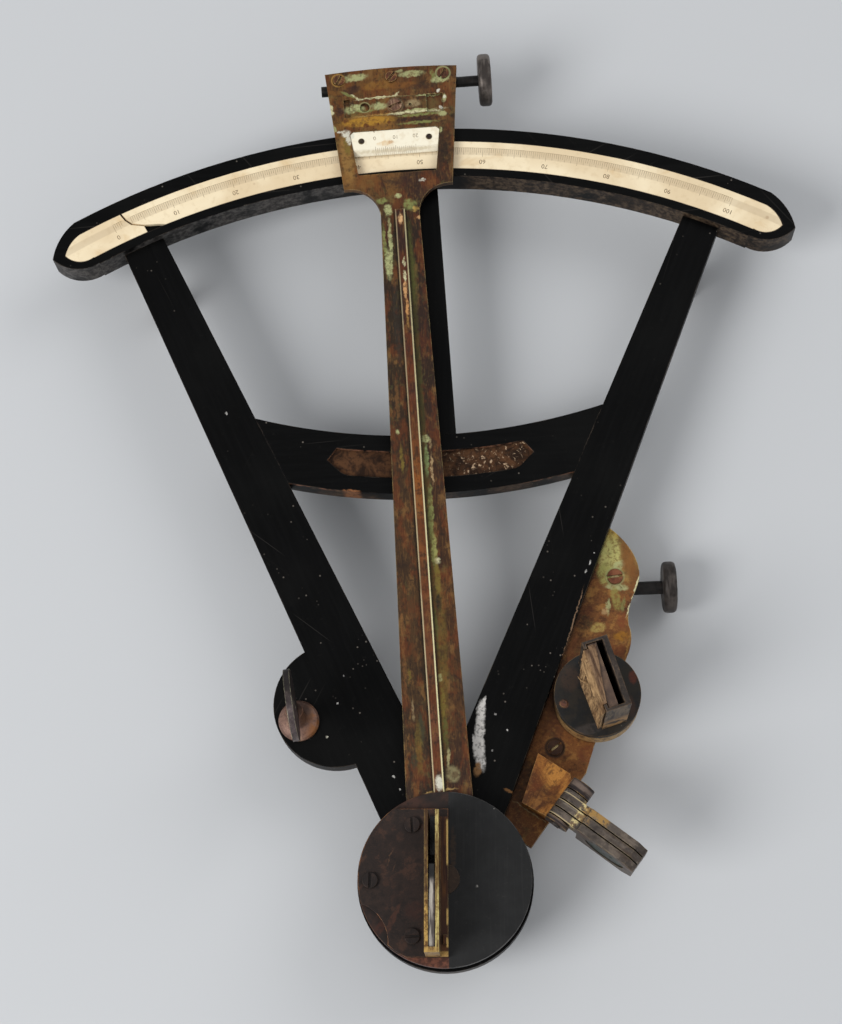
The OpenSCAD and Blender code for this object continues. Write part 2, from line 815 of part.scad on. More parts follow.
module vernier_scale() {
  bevel_h = 1.6;
  color(ivory) on_arm() difference() {
    intersection() {
      translate([0, 0, arm_z]) linear_extrude(vernier_t) window2d(-inlay_gap);
      translate([0, vernier_y, arm_z]) rotate([90, 0, 90]) translate([0, 0, -window_top_w])
        linear_extrude(2 * window_top_w) polygon([
          [0, 0], [vernier_h, 0], [vernier_h, vernier_t], [bevel_h, vernier_t], [0, 0.4]
        ]);
    }
    for (side = [-1, 1]) translate([side * vernier_pin_x, vernier_y + vernier_pin_y, arm_z - cut])
      cylinder(r = vernier_pin_r + inlay_gap, h = arm_t + 2 * cut);
  }
}

module vernier_pins() {
  color(dark_brass) on_arm() for (side = [-1, 1])
    translate([side * vernier_pin_x, vernier_y + vernier_pin_y, arm_z]) cylinder(r = vernier_pin_r, h = vernier_t + 0.1);
}

// Tangent screw and clamp

lug_w = 3.4;
lug_x = 14.8;
tangent_z = arm_z - tangent_drop;
collar_t = 1.2;
shank_in = 2.6;

module tangent_lugs() {
  lug_r = 3.6;
  web_half = 2.7;
  color(dark_brass) on_arm() for (side = [-1, 1])
    difference() {
      translate([side * (lug_x + lug_w / 2), 0, 0]) union() {
        translate([-lug_w / 2, tangent_c - web_half, tangent_z]) cube([lug_w, 2 * web_half, arm_z - tangent_z]);
        translate([-lug_w / 2, tangent_c, tangent_z]) rotate([0, 90, 0]) cylinder(r = lug_r, h = lug_w);
      }
      translate([-end_top_w, tangent_c, tangent_z]) rotate([0, 90, 0])
        cylinder(r = tangent_r + run_fit, h = 2 * end_top_w);
      translate([side * plate_screw_x, tangent_c, arm_z - shank_in]) cylinder(r = screw_r + inlay_gap, h = shank_in + cut);
    }
}

module end_plate_screws() {
  color(brass) on_arm() {
    for (side = [-1, 1]) translate([side * plate_screw_x, tangent_c, arm_top])
      slotted_screw(plate_screw_r, plate_screw_h, screw_r, arm_t + shank_in - inlay_gap, 60);
    translate([0, tangent_c, arm_top])
      slotted_screw(plate_screw_r, plate_screw_h, screw_r, arm_t - inlay_gap, 50);
  }
}

bracket_w = 11;
bracket_top = arm_z - slide_gap;
leg_y1 = arc_r2 - scale_r + 0.8;
leg_t = 5;
jaw_z = back_z - 7.4;
jaw_t = 2.8;
jaw_y = arc_r1 - scale_r + 2.6;
clamp_c = (arc_r1 + arc_r2) / 2;
nut_y2 = tangent_c + 1.5;
steady_x = 5.6;
slide_screw_x = 0.7;
slide_hole_x = -9.2;

module clamp_slide() {
  slide_t = channel_d - inlay_gap;
  color(brass) on_arm() difference() {
    union() {
      translate([slide_x - slide_l / 2, slide_c - slide_w / 2, arm_top - slide_t])
        cube([slide_l, slide_w, slide_t]);
      translate([slide_x - slide_neck_l / 2, slide_c - slide_neck_w / 2, bracket_top])
        cube([slide_neck_l, slide_neck_w, arm_top - slide_t - bracket_top + 0.1]);
    }
    translate([slide_hole_x, slide_c, arm_top - slide_t - cut]) cylinder(r = 1.6, h = slide_t + 2 * cut);
    translate([slide_screw_x, slide_c, bracket_top - cut]) cylinder(r = screw_r + inlay_gap, h = arm_top);
    translate([steady_x, slide_c, arm_top - 0.5]) cylinder(r = 0.5, h = cut);
  }
}

module slide_screw() {
  color(brass) on_arm() translate([slide_screw_x, slide_c, arm_top])
    slotted_screw(2.2, 0.6, screw_r, arm_top - bracket_top + 3, 20);
}

// Bracket that runs behind the end plate, carries the nut and reaches under the arc
module clamp_bracket() {
  nut_r = tangent_r + 2.2;
  web_half = 2;
  leg_y = scale_r + leg_y1;
  color(dark_brass) on_arm() difference() {
    translate([slide_x - bracket_w / 2, 0, 0]) {
      translate([0, leg_y, bracket_top - 2.6]) cube([bracket_w, nut_y2 - leg_y, 2.6]);
      translate([0, leg_y, jaw_z]) cube([bracket_w, leg_t, bracket_top - jaw_z - 0.1]);
      translate([0, scale_r + jaw_y, jaw_z]) cube([bracket_w, leg_y - scale_r - jaw_y + 0.1, jaw_t]);
      translate([0, tangent_c - web_half, tangent_z]) cube([bracket_w, 2 * web_half, bracket_top - tangent_z - 0.1]);
      translate([0, tangent_c, tangent_z]) rotate([0, 90, 0]) cylinder(r = nut_r, h = bracket_w);
    }
    translate([slide_x - bracket_w, tangent_c, tangent_z]) rotate([0, 90, 0])
      cylinder(r = tangent_r + run_fit, h = 2 * bracket_w);
    translate([slide_screw_x, slide_c, bracket_top - 3.2]) cylinder(r = screw_r + inlay_gap, h = 3.2 + cut);
    translate([slide_x, clamp_c, jaw_z - cut]) cylinder(r = clamp_r + run_fit, h = jaw_t + 2 * cut);
  }
}

shoe_t = 2.6;
shoe_z = back_z - slide_gap - shoe_t;
shoe_socket = 1.3;
clamp_tip = 0.4;

module clamp_shoe() {
  shoe_l = leg_y1 + scale_r - slide_gap - (scale_r + jaw_y);
  color(brass) on_arm() difference() {
    translate([slide_x - bracket_w / 2, scale_r + jaw_y, shoe_z]) cube([bracket_w, shoe_l, shoe_t]);
    translate([slide_x, clamp_c, shoe_z - cut]) cylinder(r = clamp_r + slide_gap, h = shoe_socket + cut);
  }
}

clamp_knob_z = jaw_z - slide_gap - clamp_knob_h - 1.2;

module clamp_screw() {
  low = clamp_knob_z + clamp_knob_h - 2;
  color(dark_brass) on_arm() translate([slide_x, clamp_c, low]) {
    cylinder(r = clamp_r, h = shoe_z + clamp_tip - low);
    translate([0, 0, 2]) cylinder(r = clamp_r + 1, h = 1.2);
  }
}

module clamp_knob() {
  color(dark_brass) on_arm() translate([slide_x, clamp_c, clamp_knob_z]) difference() {
    knob(clamp_knob_r, clamp_knob_h);
    translate([0, 0, clamp_knob_h - 2 - inlay_gap]) cylinder(r = clamp_r + inlay_gap, h = 2 + cut);
  }
}

tangent_stub = 1.6;
tangent_neck = 6.8;

module tangent_screw() {
  left = end_top_w / 2 + tangent_stub;
  right = end_top_w / 2 + tangent_neck;
  collar_x = lug_x + lug_w + slide_gap;
  color(steel) on_arm() translate([0, tangent_c, tangent_z]) rotate([0, 90, 0]) {
    translate([0, 0, -left]) cylinder(r = tangent_r, h = left + right + knob_t / 2);
    for (z = [-collar_x - collar_t, collar_x]) translate([0, 0, z]) cylinder(r = tangent_r + 1.2, h = collar_t);
  }
}

module tangent_knob() {
  color(steel) on_arm() translate([end_top_w / 2 + tangent_neck, tangent_c, tangent_z]) rotate([0, 90, 0])
    difference() {
      knob(tangent_knob_r, knob_t);
      translate([0, 0, -cut]) cylinder(r = tangent_r + inlay_gap, h = knob_t / 2 + inlay_gap + cut);
    }
}

// Side plate, horizon mirror and its adjustment

side_z = back_z - side_plate_t;
side_screw_r = 1.6;
side_screw_in = 5;
side_inside = 10;

// Point on the right limb's outer edge at height y, moved in by d
function limb_edge(y, d = 0) = [right_off / cos(right_lean) + y * tan(right_lean) - d, y];

side_screw_places = [for (y = [42, 68, 99]) limb_edge(y, side_inside / 2)];
shade_c = [shade_x, shade_y];

// Ogee outline of the plate, from its upper tip down to the foot beside the head: the bulge
// carries the adjusting block, and the foot carries the shades
plate_tip = [horizon_x + 6.4, adjust_y + 18.4];
plate_bulge = [horizon_x + 15.6, adjust_y + 3];
plate_waist = [horizon_x + 11.3, adjust_y - 13.6];
plate_hip = [horizon_x + 10.4, horizon_y + 13.7];

module side_plate2d() {
  polygon(concat(
    [limb_edge(plate_tip.y - 6, side_inside)],
    curve(plate_tip, plate_tip + [3.6, -3], plate_bulge + [-0.2, 6.9], plate_bulge),
    curve(plate_bulge, plate_bulge + [0, -5], plate_waist + [-0.7, 7.6], plate_waist),
    curve(plate_waist, plate_waist + [1.1, -2.4], plate_hip + [1.6, 3.1], plate_hip, 6),
    [for (d = [[9.1, 20.9], [6.2, 12.5], [-6.8, -3.4], [-11.6, -9.7], [-19.8, -4.5]]) shade_c + d],
    [limb_edge(shade_y + 11, side_inside)]
  ));
}

bracket_screw_places = [[horizon_x + 7.9, adjust_y + 2], [horizon_x - 13.4, horizon_y - 14.3]];

module horizon_plate() {
  color(brass) difference() {
    translate([0, 0, side_z]) linear_extrude(side_plate_t) side_plate2d();
    translate([horizon_x, horizon_y, side_z - cut]) cylinder(r = stem_r + run_fit, h = side_plate_t + 2 * cut);
    for (p = side_screw_places)
      translate([p.x, p.y, side_z - cut]) cylinder(r = side_screw_r + inlay_gap, h = side_plate_t + 2 * cut);
    for (p = bracket_screw_places)
      translate([p.x, p.y, side_z - cut]) cylinder(r = screw_r + inlay_gap, h = side_plate_t + 2 * cut);
  }
}

module horizon_plate_screws() {
  color(dark_brass) for (p = side_screw_places) translate([p.x, p.y, side_z]) mirror([0, 0, 1])
    slotted_screw(2.8, 1.2, side_screw_r, side_plate_t + side_screw_in - inlay_gap, 30);
}

module bracket_screws() {
  color(brass) {
    translate([bracket_screw_places[0].x, bracket_screw_places[0].y, back_z])
      slotted_screw(2.4, 0.6, screw_r, side_plate_t + shank_in - inlay_gap, 5);
    translate([bracket_screw_places[1].x, bracket_screw_places[1].y, back_z])
      slotted_screw(2.4, 0.6, screw_r, side_plate_t, 35);
  }
}

horizon_top = arc_z - 0.2;
boss_top = horizon_top - horizon_disc_t - slide_gap;

module horizon_boss() {
  color(dark_brass) translate([horizon_x, horizon_y, back_z]) difference() {
    cylinder(r = horizon_r, h = boss_top - back_z);
    translate([0, 0, -cut]) cylinder(r = stem_r + run_fit, h = boss_top - back_z + 2 * cut);
  }
}

module horizon_disc() {
  color(black) translate([horizon_x, horizon_y, boss_top + slide_gap]) {
    difference() {
      cylinder(r = horizon_r, h = horizon_disc_t);
      translate([0, 0, -cut]) cylinder(r = stem_r, h = horizon_disc_t - 1 + cut);
    }
    translate([-10.4, -2.7, horizon_disc_t - 0.1]) cylinder(r = 1.1, h = 0.5);
  }
}

lever_z = side_z - 0.4 - lever_t;
stem_nut_h = 3;

module horizon_stem() {
  color(steel) translate([horizon_x, horizon_y, lever_z - stem_nut_h])
    cylinder(r = stem_r, h = horizon_top - 1 - lever_z + stem_nut_h);
}

module stem_nut() {
  color(dark_brass) translate([horizon_x, horizon_y, lever_z - stem_nut_h]) difference() {
    cylinder(r = stem_r + 2.4, h = stem_nut_h, $fn = 6);
    translate([0, 0, -cut]) cylinder(r = stem_r, h = stem_nut_h + 2 * cut);
  }
}

nut_pin_r = 1.8;
nut_pin_fit = 0.12;
lever_turn = atan2(horizon_x - nut_x, adjust_y - horizon_y);
lever_l = norm([horizon_x - nut_x, adjust_y - horizon_y]);

module horizon_lever() {
  color(dark_brass) translate([horizon_x, horizon_y, lever_z]) rotate(lever_turn) linear_extrude(lever_t)
    difference() {
      union() {
        circle(r = stem_r + 3);
        translate([-lever_w / 2, 0]) square([lever_w, lever_l + 3.4]);
      }
      circle(r = stem_r);
      translate([-nut_pin_r - nut_pin_fit, lever_l - 3.4]) square([2 * (nut_pin_r + nut_pin_fit), 8]);
    }
}

hm_floor = 1;
hm_off = [1.5, 0.5];
hm_lip = 2.2;
hm_sill = hm_floor + 2;
hm_glass_x = hm_wall - hm_w / 2 + 0.3;

module on_horizon_mirror() {
  translate([horizon_x + hm_off.x, horizon_y + hm_off.y, horizon_top]) rotate(hm_turn) children();
}

// Upright frame of the horizon mirror: back wall, end walls, floor, and lips beside the open front
module horizon_mirror_frame() {
  color(dark_brass) on_horizon_mirror() difference() {
    translate([-hm_w / 2, -hm_l / 2, 0]) cube([hm_w, hm_l, hm_h]);
    translate([hm_wall - hm_w / 2, hm_wall - hm_l / 2, hm_floor])
      cube([hm_w - hm_wall - hm_back, hm_l - 2 * hm_wall, hm_h]);
    translate([-hm_w, hm_lip - hm_l / 2, hm_sill]) cube([hm_w, hm_l - 2 * hm_lip, hm_h]);
  }
}

// Wood block that fills the open front between the lips and stands out of it
module horizon_packing() {
  ragged = 0.5;
  tall = hm_h - 0.3;
  long = hm_l - 2 * hm_lip - 0.4;
  color(wood) on_horizon_mirror()
    translate([hm_glass_x - inlay_gap - packing_t, -long / 2, hm_sill + inlay_gap]) difference() {
      cube([packing_t, long, tall - hm_sill]);
      for (i = [0 : 3]) translate([-cut, (0.15 + 0.22 * i) * long, tall - hm_sill - ragged * (1 + i % 2)])
        cube([packing_t / 2 + cut, 0.13 * long, 2 * ragged + cut]);
    }
}

module horizon_mirror_glass() {
  long = hm_l - 2 * hm_wall - 0.3;
  color(mirror_glass) on_horizon_mirror() translate([hm_glass_x, -long / 2, hm_floor + inlay_gap])
    cube([hm_glass_t, long, hm_h - hm_floor - 0.9]);
}

adjust_z = side_z - adjust_drop;
block_x1 = horizon_x + 5.8;
block_x2 = horizon_x + 12.4;
block_half = 4.2;

module adjuster_block() {
  low_r = 3.6;
  color(brass) difference() {
    union() {
      translate([block_x1, adjust_y - block_half, adjust_z]) cube([block_x2 - block_x1, 2 * block_half, side_z - adjust_z]);
      translate([block_x1, adjust_y, adjust_z]) rotate([0, 90, 0]) cylinder(r = low_r, h = block_x2 - block_x1);
    }
    translate([block_x1 - cut, adjust_y, adjust_z]) rotate([0, 90, 0])
      cylinder(r = adjust_r + run_fit, h = block_x2 - block_x1 + 2 * cut);
    translate([bracket_screw_places[0].x, bracket_screw_places[0].y, side_z - shank_in])
      cylinder(r = screw_r + inlay_gap, h = shank_in + cut);
  }
}

adjust_end_x = nut_x - 3.4;
adjust_knob_x = horizon_x + 23.1;

module adjusting_screw() {
  color(steel) translate([0, adjust_y, adjust_z]) rotate([0, 90, 0]) {
    translate([0, 0, adjust_end_x]) cylinder(r = adjust_r, h = adjust_knob_x + knob_t / 2 - adjust_end_x);
    for (x = [block_x1 - slide_gap - collar_t, block_x2 + slide_gap])
      translate([0, 0, x]) cylinder(r = adjust_r + 0.5, h = collar_t);
  }
}

module adjusting_knob() {
  color(steel) translate([adjust_knob_x, adjust_y, adjust_z]) rotate([0, 90, 0]) difference() {
    knob(adjust_knob_r, knob_t);
    translate([0, 0, -cut]) cylinder(r = adjust_r + inlay_gap, h = knob_t / 2 + inlay_gap + cut);
  }
}

module adjusting_nut() {
  half_w = 2.4;
  half_y = 3.4;
  top = lever_z - 0.4;
  low = adjust_z - (top - adjust_z);
  color(brass) difference() {
    union() {
      translate([nut_x - half_w, adjust_y - half_y, low]) cube([2 * half_w, 2 * half_y, top - low]);
      translate([nut_x, adjust_y, top - 0.1]) cylinder(r = nut_pin_r, h = lever_z + lever_t - top);
    }
    translate([nut_x - half_w - cut, adjust_y, adjust_z]) rotate([0, 90, 0])
      cylinder(r = adjust_r + run_fit, h = 2 * (half_w + cut));
  }
}

// Shades

shade_pin_z = arc_z + shade_z;
leaf_first = 0;
leaf_low = leaf_first - 2 * shade_pitch;
eye_extra = 1.1;
upper_knuckle = leaf_first + shade_t + eye_extra + 0.35;
lower_knuckle = leaf_low - 0.35;
block_top = limb_z - 0.2;

module on_shade_pin() {
  translate([shade_x, shade_y, shade_pin_z]) rotate([0, 0, -shade_turn]) children();
}

module knuckle(y1, y2) {
  translate([0, y2, 0]) rotate([90, 0, 0]) cylinder(r = knuckle_r, h = y2 - y1);
}

// Block on the plate, and beside it a wall under the hinge that carries the two outer knuckles
module shade_bracket() {
  wall_x = 1;
  wall_y = -4.4;
  ledge_y = -2.5;
  foot_t = 1.5;
  ledge_drop = 0.4;
  wall_top = -knuckle_r - 0.4;
  base = block_top - shade_pin_z;
  half = hinge_l / 2;
  color(brass) difference() {
    union() {
      translate([0, 0, back_z]) linear_extrude(block_top - back_z)
        polygon([for (d = [[-8.4, 17.8], [1, 11.2], [1.6, 7], [-6.8, -1.4], [-14, 3]]) shade_c + d]);
      on_shade_pin() {
        translate([-7, ledge_y, base - 5]) cube([7 + wall_x, half - ledge_y, 5 - ledge_drop]);
        translate([-knuckle_r, wall_y, base - ledge_drop - 0.1])
          cube([knuckle_r + wall_x, half - wall_y, wall_top - base + ledge_drop + 0.1]);
        translate([-knuckle_r, -half, wall_top - foot_t]) cube([knuckle_r + wall_x, half + wall_y + 0.1, foot_t]);
        for (span = [[-half, lower_knuckle], [upper_knuckle, half]]) {
          translate([-knuckle_r, span[0], wall_top - 0.1]) cube([knuckle_r + wall_x, span[1] - span[0], 0.1 - wall_top]);
          knuckle(span[0], span[1]);
        }
      }
    }
    on_shade_pin() translate([0, hinge_l, 0]) rotate([90, 0, 0]) cylinder(r = shade_pin_r + run_fit, h = 2 * hinge_l);
  }
}

module shade_pin() {
  proud = 0.3;
  color(steel) on_shade_pin() translate([0, hinge_l / 2 + proud, 0]) rotate([90, 0, 0])
    cylinder(r = shade_pin_r, h = hinge_l + 2 * proud);
}

leaf_rise = 5;
leaf_corner = 3.2;
leaf_mid = [shade_reach - shade_size / 2 - 1, leaf_rise - shade_size / 2];

// One shade: an eye on the pin, wider on the first one, a short arm and a square frame with its
// outer corners cut off
module shade_frame(i) {
  y1 = leaf_first - i * shade_pitch;
  low = leaf_rise - shade_size;
  inner = shade_reach - shade_size - 2;
  eye_t = shade_t + (i == 0 ? eye_extra : 0);
  color(dark_brass) on_shade_pin() difference() {
    union() {
      knuckle(y1, y1 + eye_t);
      translate([0, y1 + shade_t, 0]) rotate([90, 0, 0]) linear_extrude(shade_t) union() {
        translate([0, -knuckle_r]) square([inner + 1, 2 * knuckle_r]);
        polygon([
          [inner, low], [shade_reach - leaf_corner, low], [shade_reach, low + leaf_corner],
          [shade_reach, leaf_rise - leaf_corner], [shade_reach - leaf_corner, leaf_rise], [inner, leaf_rise]
        ]);
      }
    }
    translate([0, y1 + eye_t + cut, 0]) rotate([90, 0, 0]) cylinder(r = shade_pin_r + run_fit, h = eye_t + 2 * cut);
    translate([leaf_mid.x, y1 + shade_t + cut, leaf_mid.y]) rotate([90, 0, 0])
      cylinder(r = shade_glass_r, h = shade_t + 2 * cut);
  }
}

module shade_glass(i) {
  inset = 0.3;
  y1 = leaf_first - i * shade_pitch;
  color(shade_tints[i]) on_shade_pin() translate([leaf_mid.x, y1 + shade_t - inset, leaf_mid.y])
    rotate([90, 0, 0]) cylinder(r = shade_glass_r - inlay_gap, h = shade_t - 2 * inset);
}

module shade_frame_1() { shade_frame(0); }
module shade_frame_2() { shade_frame(1); }
module shade_frame_3() { shade_frame(2); }
module shade_glass_1() { shade_glass(0); }
module shade_glass_2() { shade_glass(1); }
module shade_glass_3() { shade_glass(2); }

// Sight

vane_mid = arc_z + vane_z;
sight_foot_h = 3.2;
sight_nut_h = 2.4;
sight_nut_r = 4.4;

module sight_base() {
  pillar_r = 2.6;
  pillar_top = vane_mid - vane_r + 1.5;
  color(dark_brass) translate([sight_x, sight_y, 0]) difference() {
    union() {
      translate([0, 0, limb_z]) rotate_extrude() polygon(concat(
        [[0, 0], [sight_foot_r, 0], [sight_foot_r, 1.2]],
        curve([sight_foot_r - 0.6, 2], [sight_foot_r - 2, 3], [pillar_r + 1, sight_foot_h], [pillar_r, sight_foot_h + 1.2], 6),
        [[pillar_r, pillar_top - limb_z], [0, pillar_top - limb_z]]
      ));
      translate([0, 0, back_z - sight_nut_h]) cylinder(r = sight_stud_r, h = limb_t + sight_nut_h + 0.1);
    }
    rotate(vane_turn) translate([-vane_t / 2 - inlay_gap, -vane_r, pillar_top - 3])
      cube([vane_t + 2 * inlay_gap, 2 * vane_r, 3 + cut]);
  }
}

module sight_vane() {
  peep_r = 0.6;
  pillar_top = vane_mid - vane_r + 1.5;
  tongue_w = 4.6;
  color(brass) translate([sight_x, sight_y, 0]) rotate(vane_turn) difference() {
    union() {
      translate([-vane_t / 2, 0, vane_mid]) rotate([0, 90, 0]) cylinder(r = vane_r, h = vane_t);
      translate([-vane_t / 2, -tongue_w / 2, pillar_top - 3 + inlay_gap]) cube([vane_t, tongue_w, 4]);
    }
    for (z = [-3, 3]) translate([-vane_t, 0, vane_mid + z]) rotate([0, 90, 0]) cylinder(r = peep_r, h = 2 * vane_t);
  }
}

module sight_nut() {
  color(dark_brass) translate([sight_x, sight_y, back_z - sight_nut_h]) difference() {
    cylinder(r = sight_nut_r, h = sight_nut_h, $fn = 6);
    translate([0, 0, -cut]) cylinder(r = sight_stud_r, h = sight_nut_h + 2 * cut);
  }
}

left_limb();
right_limb();
graduated_arc();
crossbar();
centre_strut();
ivory_scale();
ivory_scale_end();
frame_feet();
pivot_foot();
pivot_plate();
pivot_socket();
pivot_back_plate();
horizon_plate();
horizon_plate_screws();
bracket_screws();
horizon_boss();
adjuster_block();
shade_bracket();
shade_pin();
sight_base();
sight_vane();
sight_nut();
index_arm();
arm_rib();
pivot_disc();
pivot_shaft();
pivot_washer();
pivot_screw();
mirror_plate();
mirror_plate_screws();
index_mirror_frame();
index_mirror_glass();
vernier_scale();
vernier_pins();
tangent_lugs();
end_plate_screws();
clamp_slide();
slide_screw();
clamp_bracket();
clamp_shoe();
clamp_screw();
clamp_knob();
tangent_screw();
tangent_knob();
horizon_disc();
horizon_stem();
horizon_lever();
stem_nut();
horizon_mirror_frame();
horizon_mirror_glass();
horizon_packing();
adjusting_screw();
adjusting_knob();
adjusting_nut();
shade_frame_1();
shade_frame_2();
shade_frame_3();
shade_glass_1();
shade_glass_2();
shade_glass_3();
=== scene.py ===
"""Looks of an ebony-framed octant: old brass, worn ebony, engraved ivory and a ragged wood wedge."""
import math

import bpy
from mathutils import Matrix, Vector, noise


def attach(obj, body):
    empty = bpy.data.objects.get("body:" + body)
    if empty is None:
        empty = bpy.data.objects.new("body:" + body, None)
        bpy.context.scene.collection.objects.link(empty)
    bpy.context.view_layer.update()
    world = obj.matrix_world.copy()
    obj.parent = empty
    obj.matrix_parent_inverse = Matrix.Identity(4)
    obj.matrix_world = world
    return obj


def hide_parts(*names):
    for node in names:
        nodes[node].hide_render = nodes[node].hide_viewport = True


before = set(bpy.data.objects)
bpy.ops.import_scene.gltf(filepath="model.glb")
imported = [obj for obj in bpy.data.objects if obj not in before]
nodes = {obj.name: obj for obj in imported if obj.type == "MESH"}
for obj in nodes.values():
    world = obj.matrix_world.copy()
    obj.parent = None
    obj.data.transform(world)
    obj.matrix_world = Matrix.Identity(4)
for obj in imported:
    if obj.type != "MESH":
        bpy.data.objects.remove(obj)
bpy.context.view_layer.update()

# Angles of the pieces, and their places and heights in millimetres

MM = 0.001
FAR = 1000.0
ARM_REST = math.radians(1.84)
MIRROR_TURN = math.radians(1.84 - 3.74)
HM_TURN = math.radians(16.3)
PIN_TURN = math.radians(-38.6)
VANE_TURN = math.radians(6.5)
LIMB_LEAN = math.radians(22.7)
ACROSS = math.radians(90)
HM_PLACE = (49.7, 55.3)
PIN_PLACE = (37.8, 20.0)
ARC_Z = 28.4
LIMB_Z = 25.4
VERNIER_Z = 30.7
FIGURES_R = 232.0
TICKS_TOP = 236.8
HALF_TICK = 0.055
HALF_LINE = 0.05
INK_DEEP = 0.05
INK_LIFT = 0.015
FIGURE_DEEP = 0.06


def spun(x, y, angle):
    """The point turned about the origin by that angle."""
    c, s = math.cos(angle), math.sin(angle)
    return c * x - s * y, s * x + c * y


HM_U, HM_V = spun(*HM_PLACE, -HM_TURN)


def linear(color):
    """Linear colour from screen values of 0 to 255. A socket is passed on."""
    if isinstance(color, bpy.types.NodeSocket):
        return color
    shares = (v / 255.0 for v in color)
    return (*(v / 12.92 if v <= 0.04045 else ((v + 0.055) / 1.055) ** 2.4 for v in shares), 1.0)


PALE = (186, 188, 132)
GREEN = (138, 142, 82)
MOSS = (92, 92, 44)
OLIVE = (122, 104, 44)
OCHRE = (152, 106, 42)
GOLD = (190, 146, 74)
CREAM = (222, 216, 170)
WHITE = (228, 224, 204)
RED = (80, 32, 20)
PURPLE = (56, 34, 27)
DARK = (30, 22, 17)
TEAL = (136, 152, 98)
BEIGE = (160, 140, 102)
BROWN = (84, 56, 34)


class Mat:
    """A principled material with short calls for its nodes, in millimetres and screen values."""

    def __init__(self, name, rough=0.5, metal=0.0, spec=0.5, turn=0.0):
        self.m = bpy.data.materials.new(name)
        self.m.use_nodes = True
        self.b = self.m.node_tree.nodes["Principled BSDF"]
        self.fill(self.b, {"Roughness": rough, "Metallic": metal, "Specular IOR Level": spec})
        self.raw = self.n("TexCoord", {}, "Object")
        self.co = self.mapped(self.raw, angle=-turn)
        self.color = None

    def fill(self, node, values):
        """Sets the node's inputs, by name or number: a socket is linked, anything else is stored."""
        for key, value in values.items():
            if isinstance(value, bpy.types.NodeSocket):
                self.m.node_tree.links.new(value, node.inputs[key])
            else:
                node.inputs[key].default_value = value

    def n(self, kind, values, out=0, **props):
        """A new shader node with these inputs and properties. Returns that output."""
        node = self.m.node_tree.nodes.new("ShaderNode" + kind)
        for key, value in props.items():
            setattr(node, key, value)
        self.fill(node, values)
        return node.outputs[out]

    def mapped(self, vector, stretch=(1, 1, 1), angle=0.0, move=(0, 0, 0), kind="POINT"):
        values = {"Vector": vector, "Location": move, "Rotation": (0, 0, angle), "Scale": stretch}
        return self.n("Mapping", values, vector_type=kind)

    def turned(self, stretch, angle=0.0):
        """The piece's coordinates, turned once more and squeezed, for grain and scratches."""
        return self.mapped(self.mapped(self.co, angle=-angle), stretch)

    def noise(self, scale, detail=4, rough=0.55, co=None, warp=0.0, out="Fac"):
        """Noise with features about 1/scale millimetres across."""
        values = {"Vector": co or self.co, "Scale": scale / MM, "Detail": detail, "Roughness": rough}
        return self.n("TexNoise", {**values, "Distortion": warp}, out)

    def wobbled(self, scale, amount, detail=3):
        """Coordinates pushed about by up to half that amount, for ragged outlines."""
        wave = self.noise(scale, detail, 0.65, out="Color")
        centred = self.n("VectorMath", {0: wave, 1: (0.5, 0.5, 0.5)}, operation="SUBTRACT")
        pushed = {0: centred, 1: (amount * MM,) * 3, 2: self.co}
        return self.mapped(self.n("VectorMath", pushed, operation="MULTIPLY_ADD"))

    def cells(self, scale):
        """Distance to the nearest of many scattered points."""
        return self.n("TexVoronoi", {"Vector": self.co, "Scale": scale / MM}, "Distance", feature="F1")

    def m2(self, op, a, b=0.0, clamp=False):
        return self.n("Math", {0: a, 1: b}, operation=op, use_clamp=clamp)

    def times(self, *values):
        out = values[0]
        for v in values[1:]:
            out = self.m2("MULTIPLY", out, v)
        return out

    def step(self, v, lo, hi, out0=0.0, out1=1.0):
        """Smooth step of v from lo to hi."""
        values = {"Value": v, "From Min": lo, "From Max": hi, "To Min": out0, "To Max": out1}
        return self.n("MapRange", values, "Result", interpolation_type="SMOOTHSTEP")

    def band(self, v, lo, hi, soft):
        """1 where v lies between lo and hi."""
        return self.times(self.step(v, lo - soft, lo + soft), self.step(v, hi - soft, hi + soft, 1.0, 0.0))

    def axes(self, co=None):
        """The three coordinates in millimetres."""
        parts = self.n("SeparateXYZ", {0: co or self.co}).node
        return [self.m2("DIVIDE", o, MM) for o in parts.outputs]

    def mix(self, fac, a, b):
        return self.n("Mix", {0: fac, 6: linear(a), 7: linear(b)}, 2, data_type="RGBA")

    def over(self, paint, *parts):
        """Lays the paint over the colour so far, as strong as the product of the parts."""
        self.color = self.mix(self.times(*parts), self.color, paint)

    def ramp(self, v, places, colors):
        """Colour by value: each colour stands at its place from 0 to 1."""
        out = self.n("ValToRGB", {0: v}, "Color")
        elements = out.node.color_ramp.elements
        elements.remove(elements[1])
        elements[0].position, elements[0].color = places[0], linear(colors[0])
        for place, color in zip(places[1:], colors[1:]):
            elements.new(place).color = linear(color)
        return out

    def blob(self, co, x, y, rx, ry, tilt=0.0, soft=0.3):
        """1 inside an ellipse about (x, y) and 0 outside it, at any height."""
        wide = (1 + soft) * MM
        local = self.mapped(co, (rx * wide, ry * wide, FAR), math.radians(tilt), (x * MM, y * MM, 0),
                            "TEXTURE")
        ball = self.n("TexGradient", {"Vector": local}, 1, gradient_type="SPHERICAL")
        return self.step(ball, 0.0, 2 * soft / (1 + soft))

    def spots(self, co, items):
        """Paints spots (x, y, rx, ry, colour, amount, tilt in degrees) one over the other."""
        crumbs = self.step(self.noise(0.8, 5, 0.68, warp=0.3), 0.38, 0.54, 0.35, 1.0)
        for item in items:
            self.spot(co, crumbs, *item)

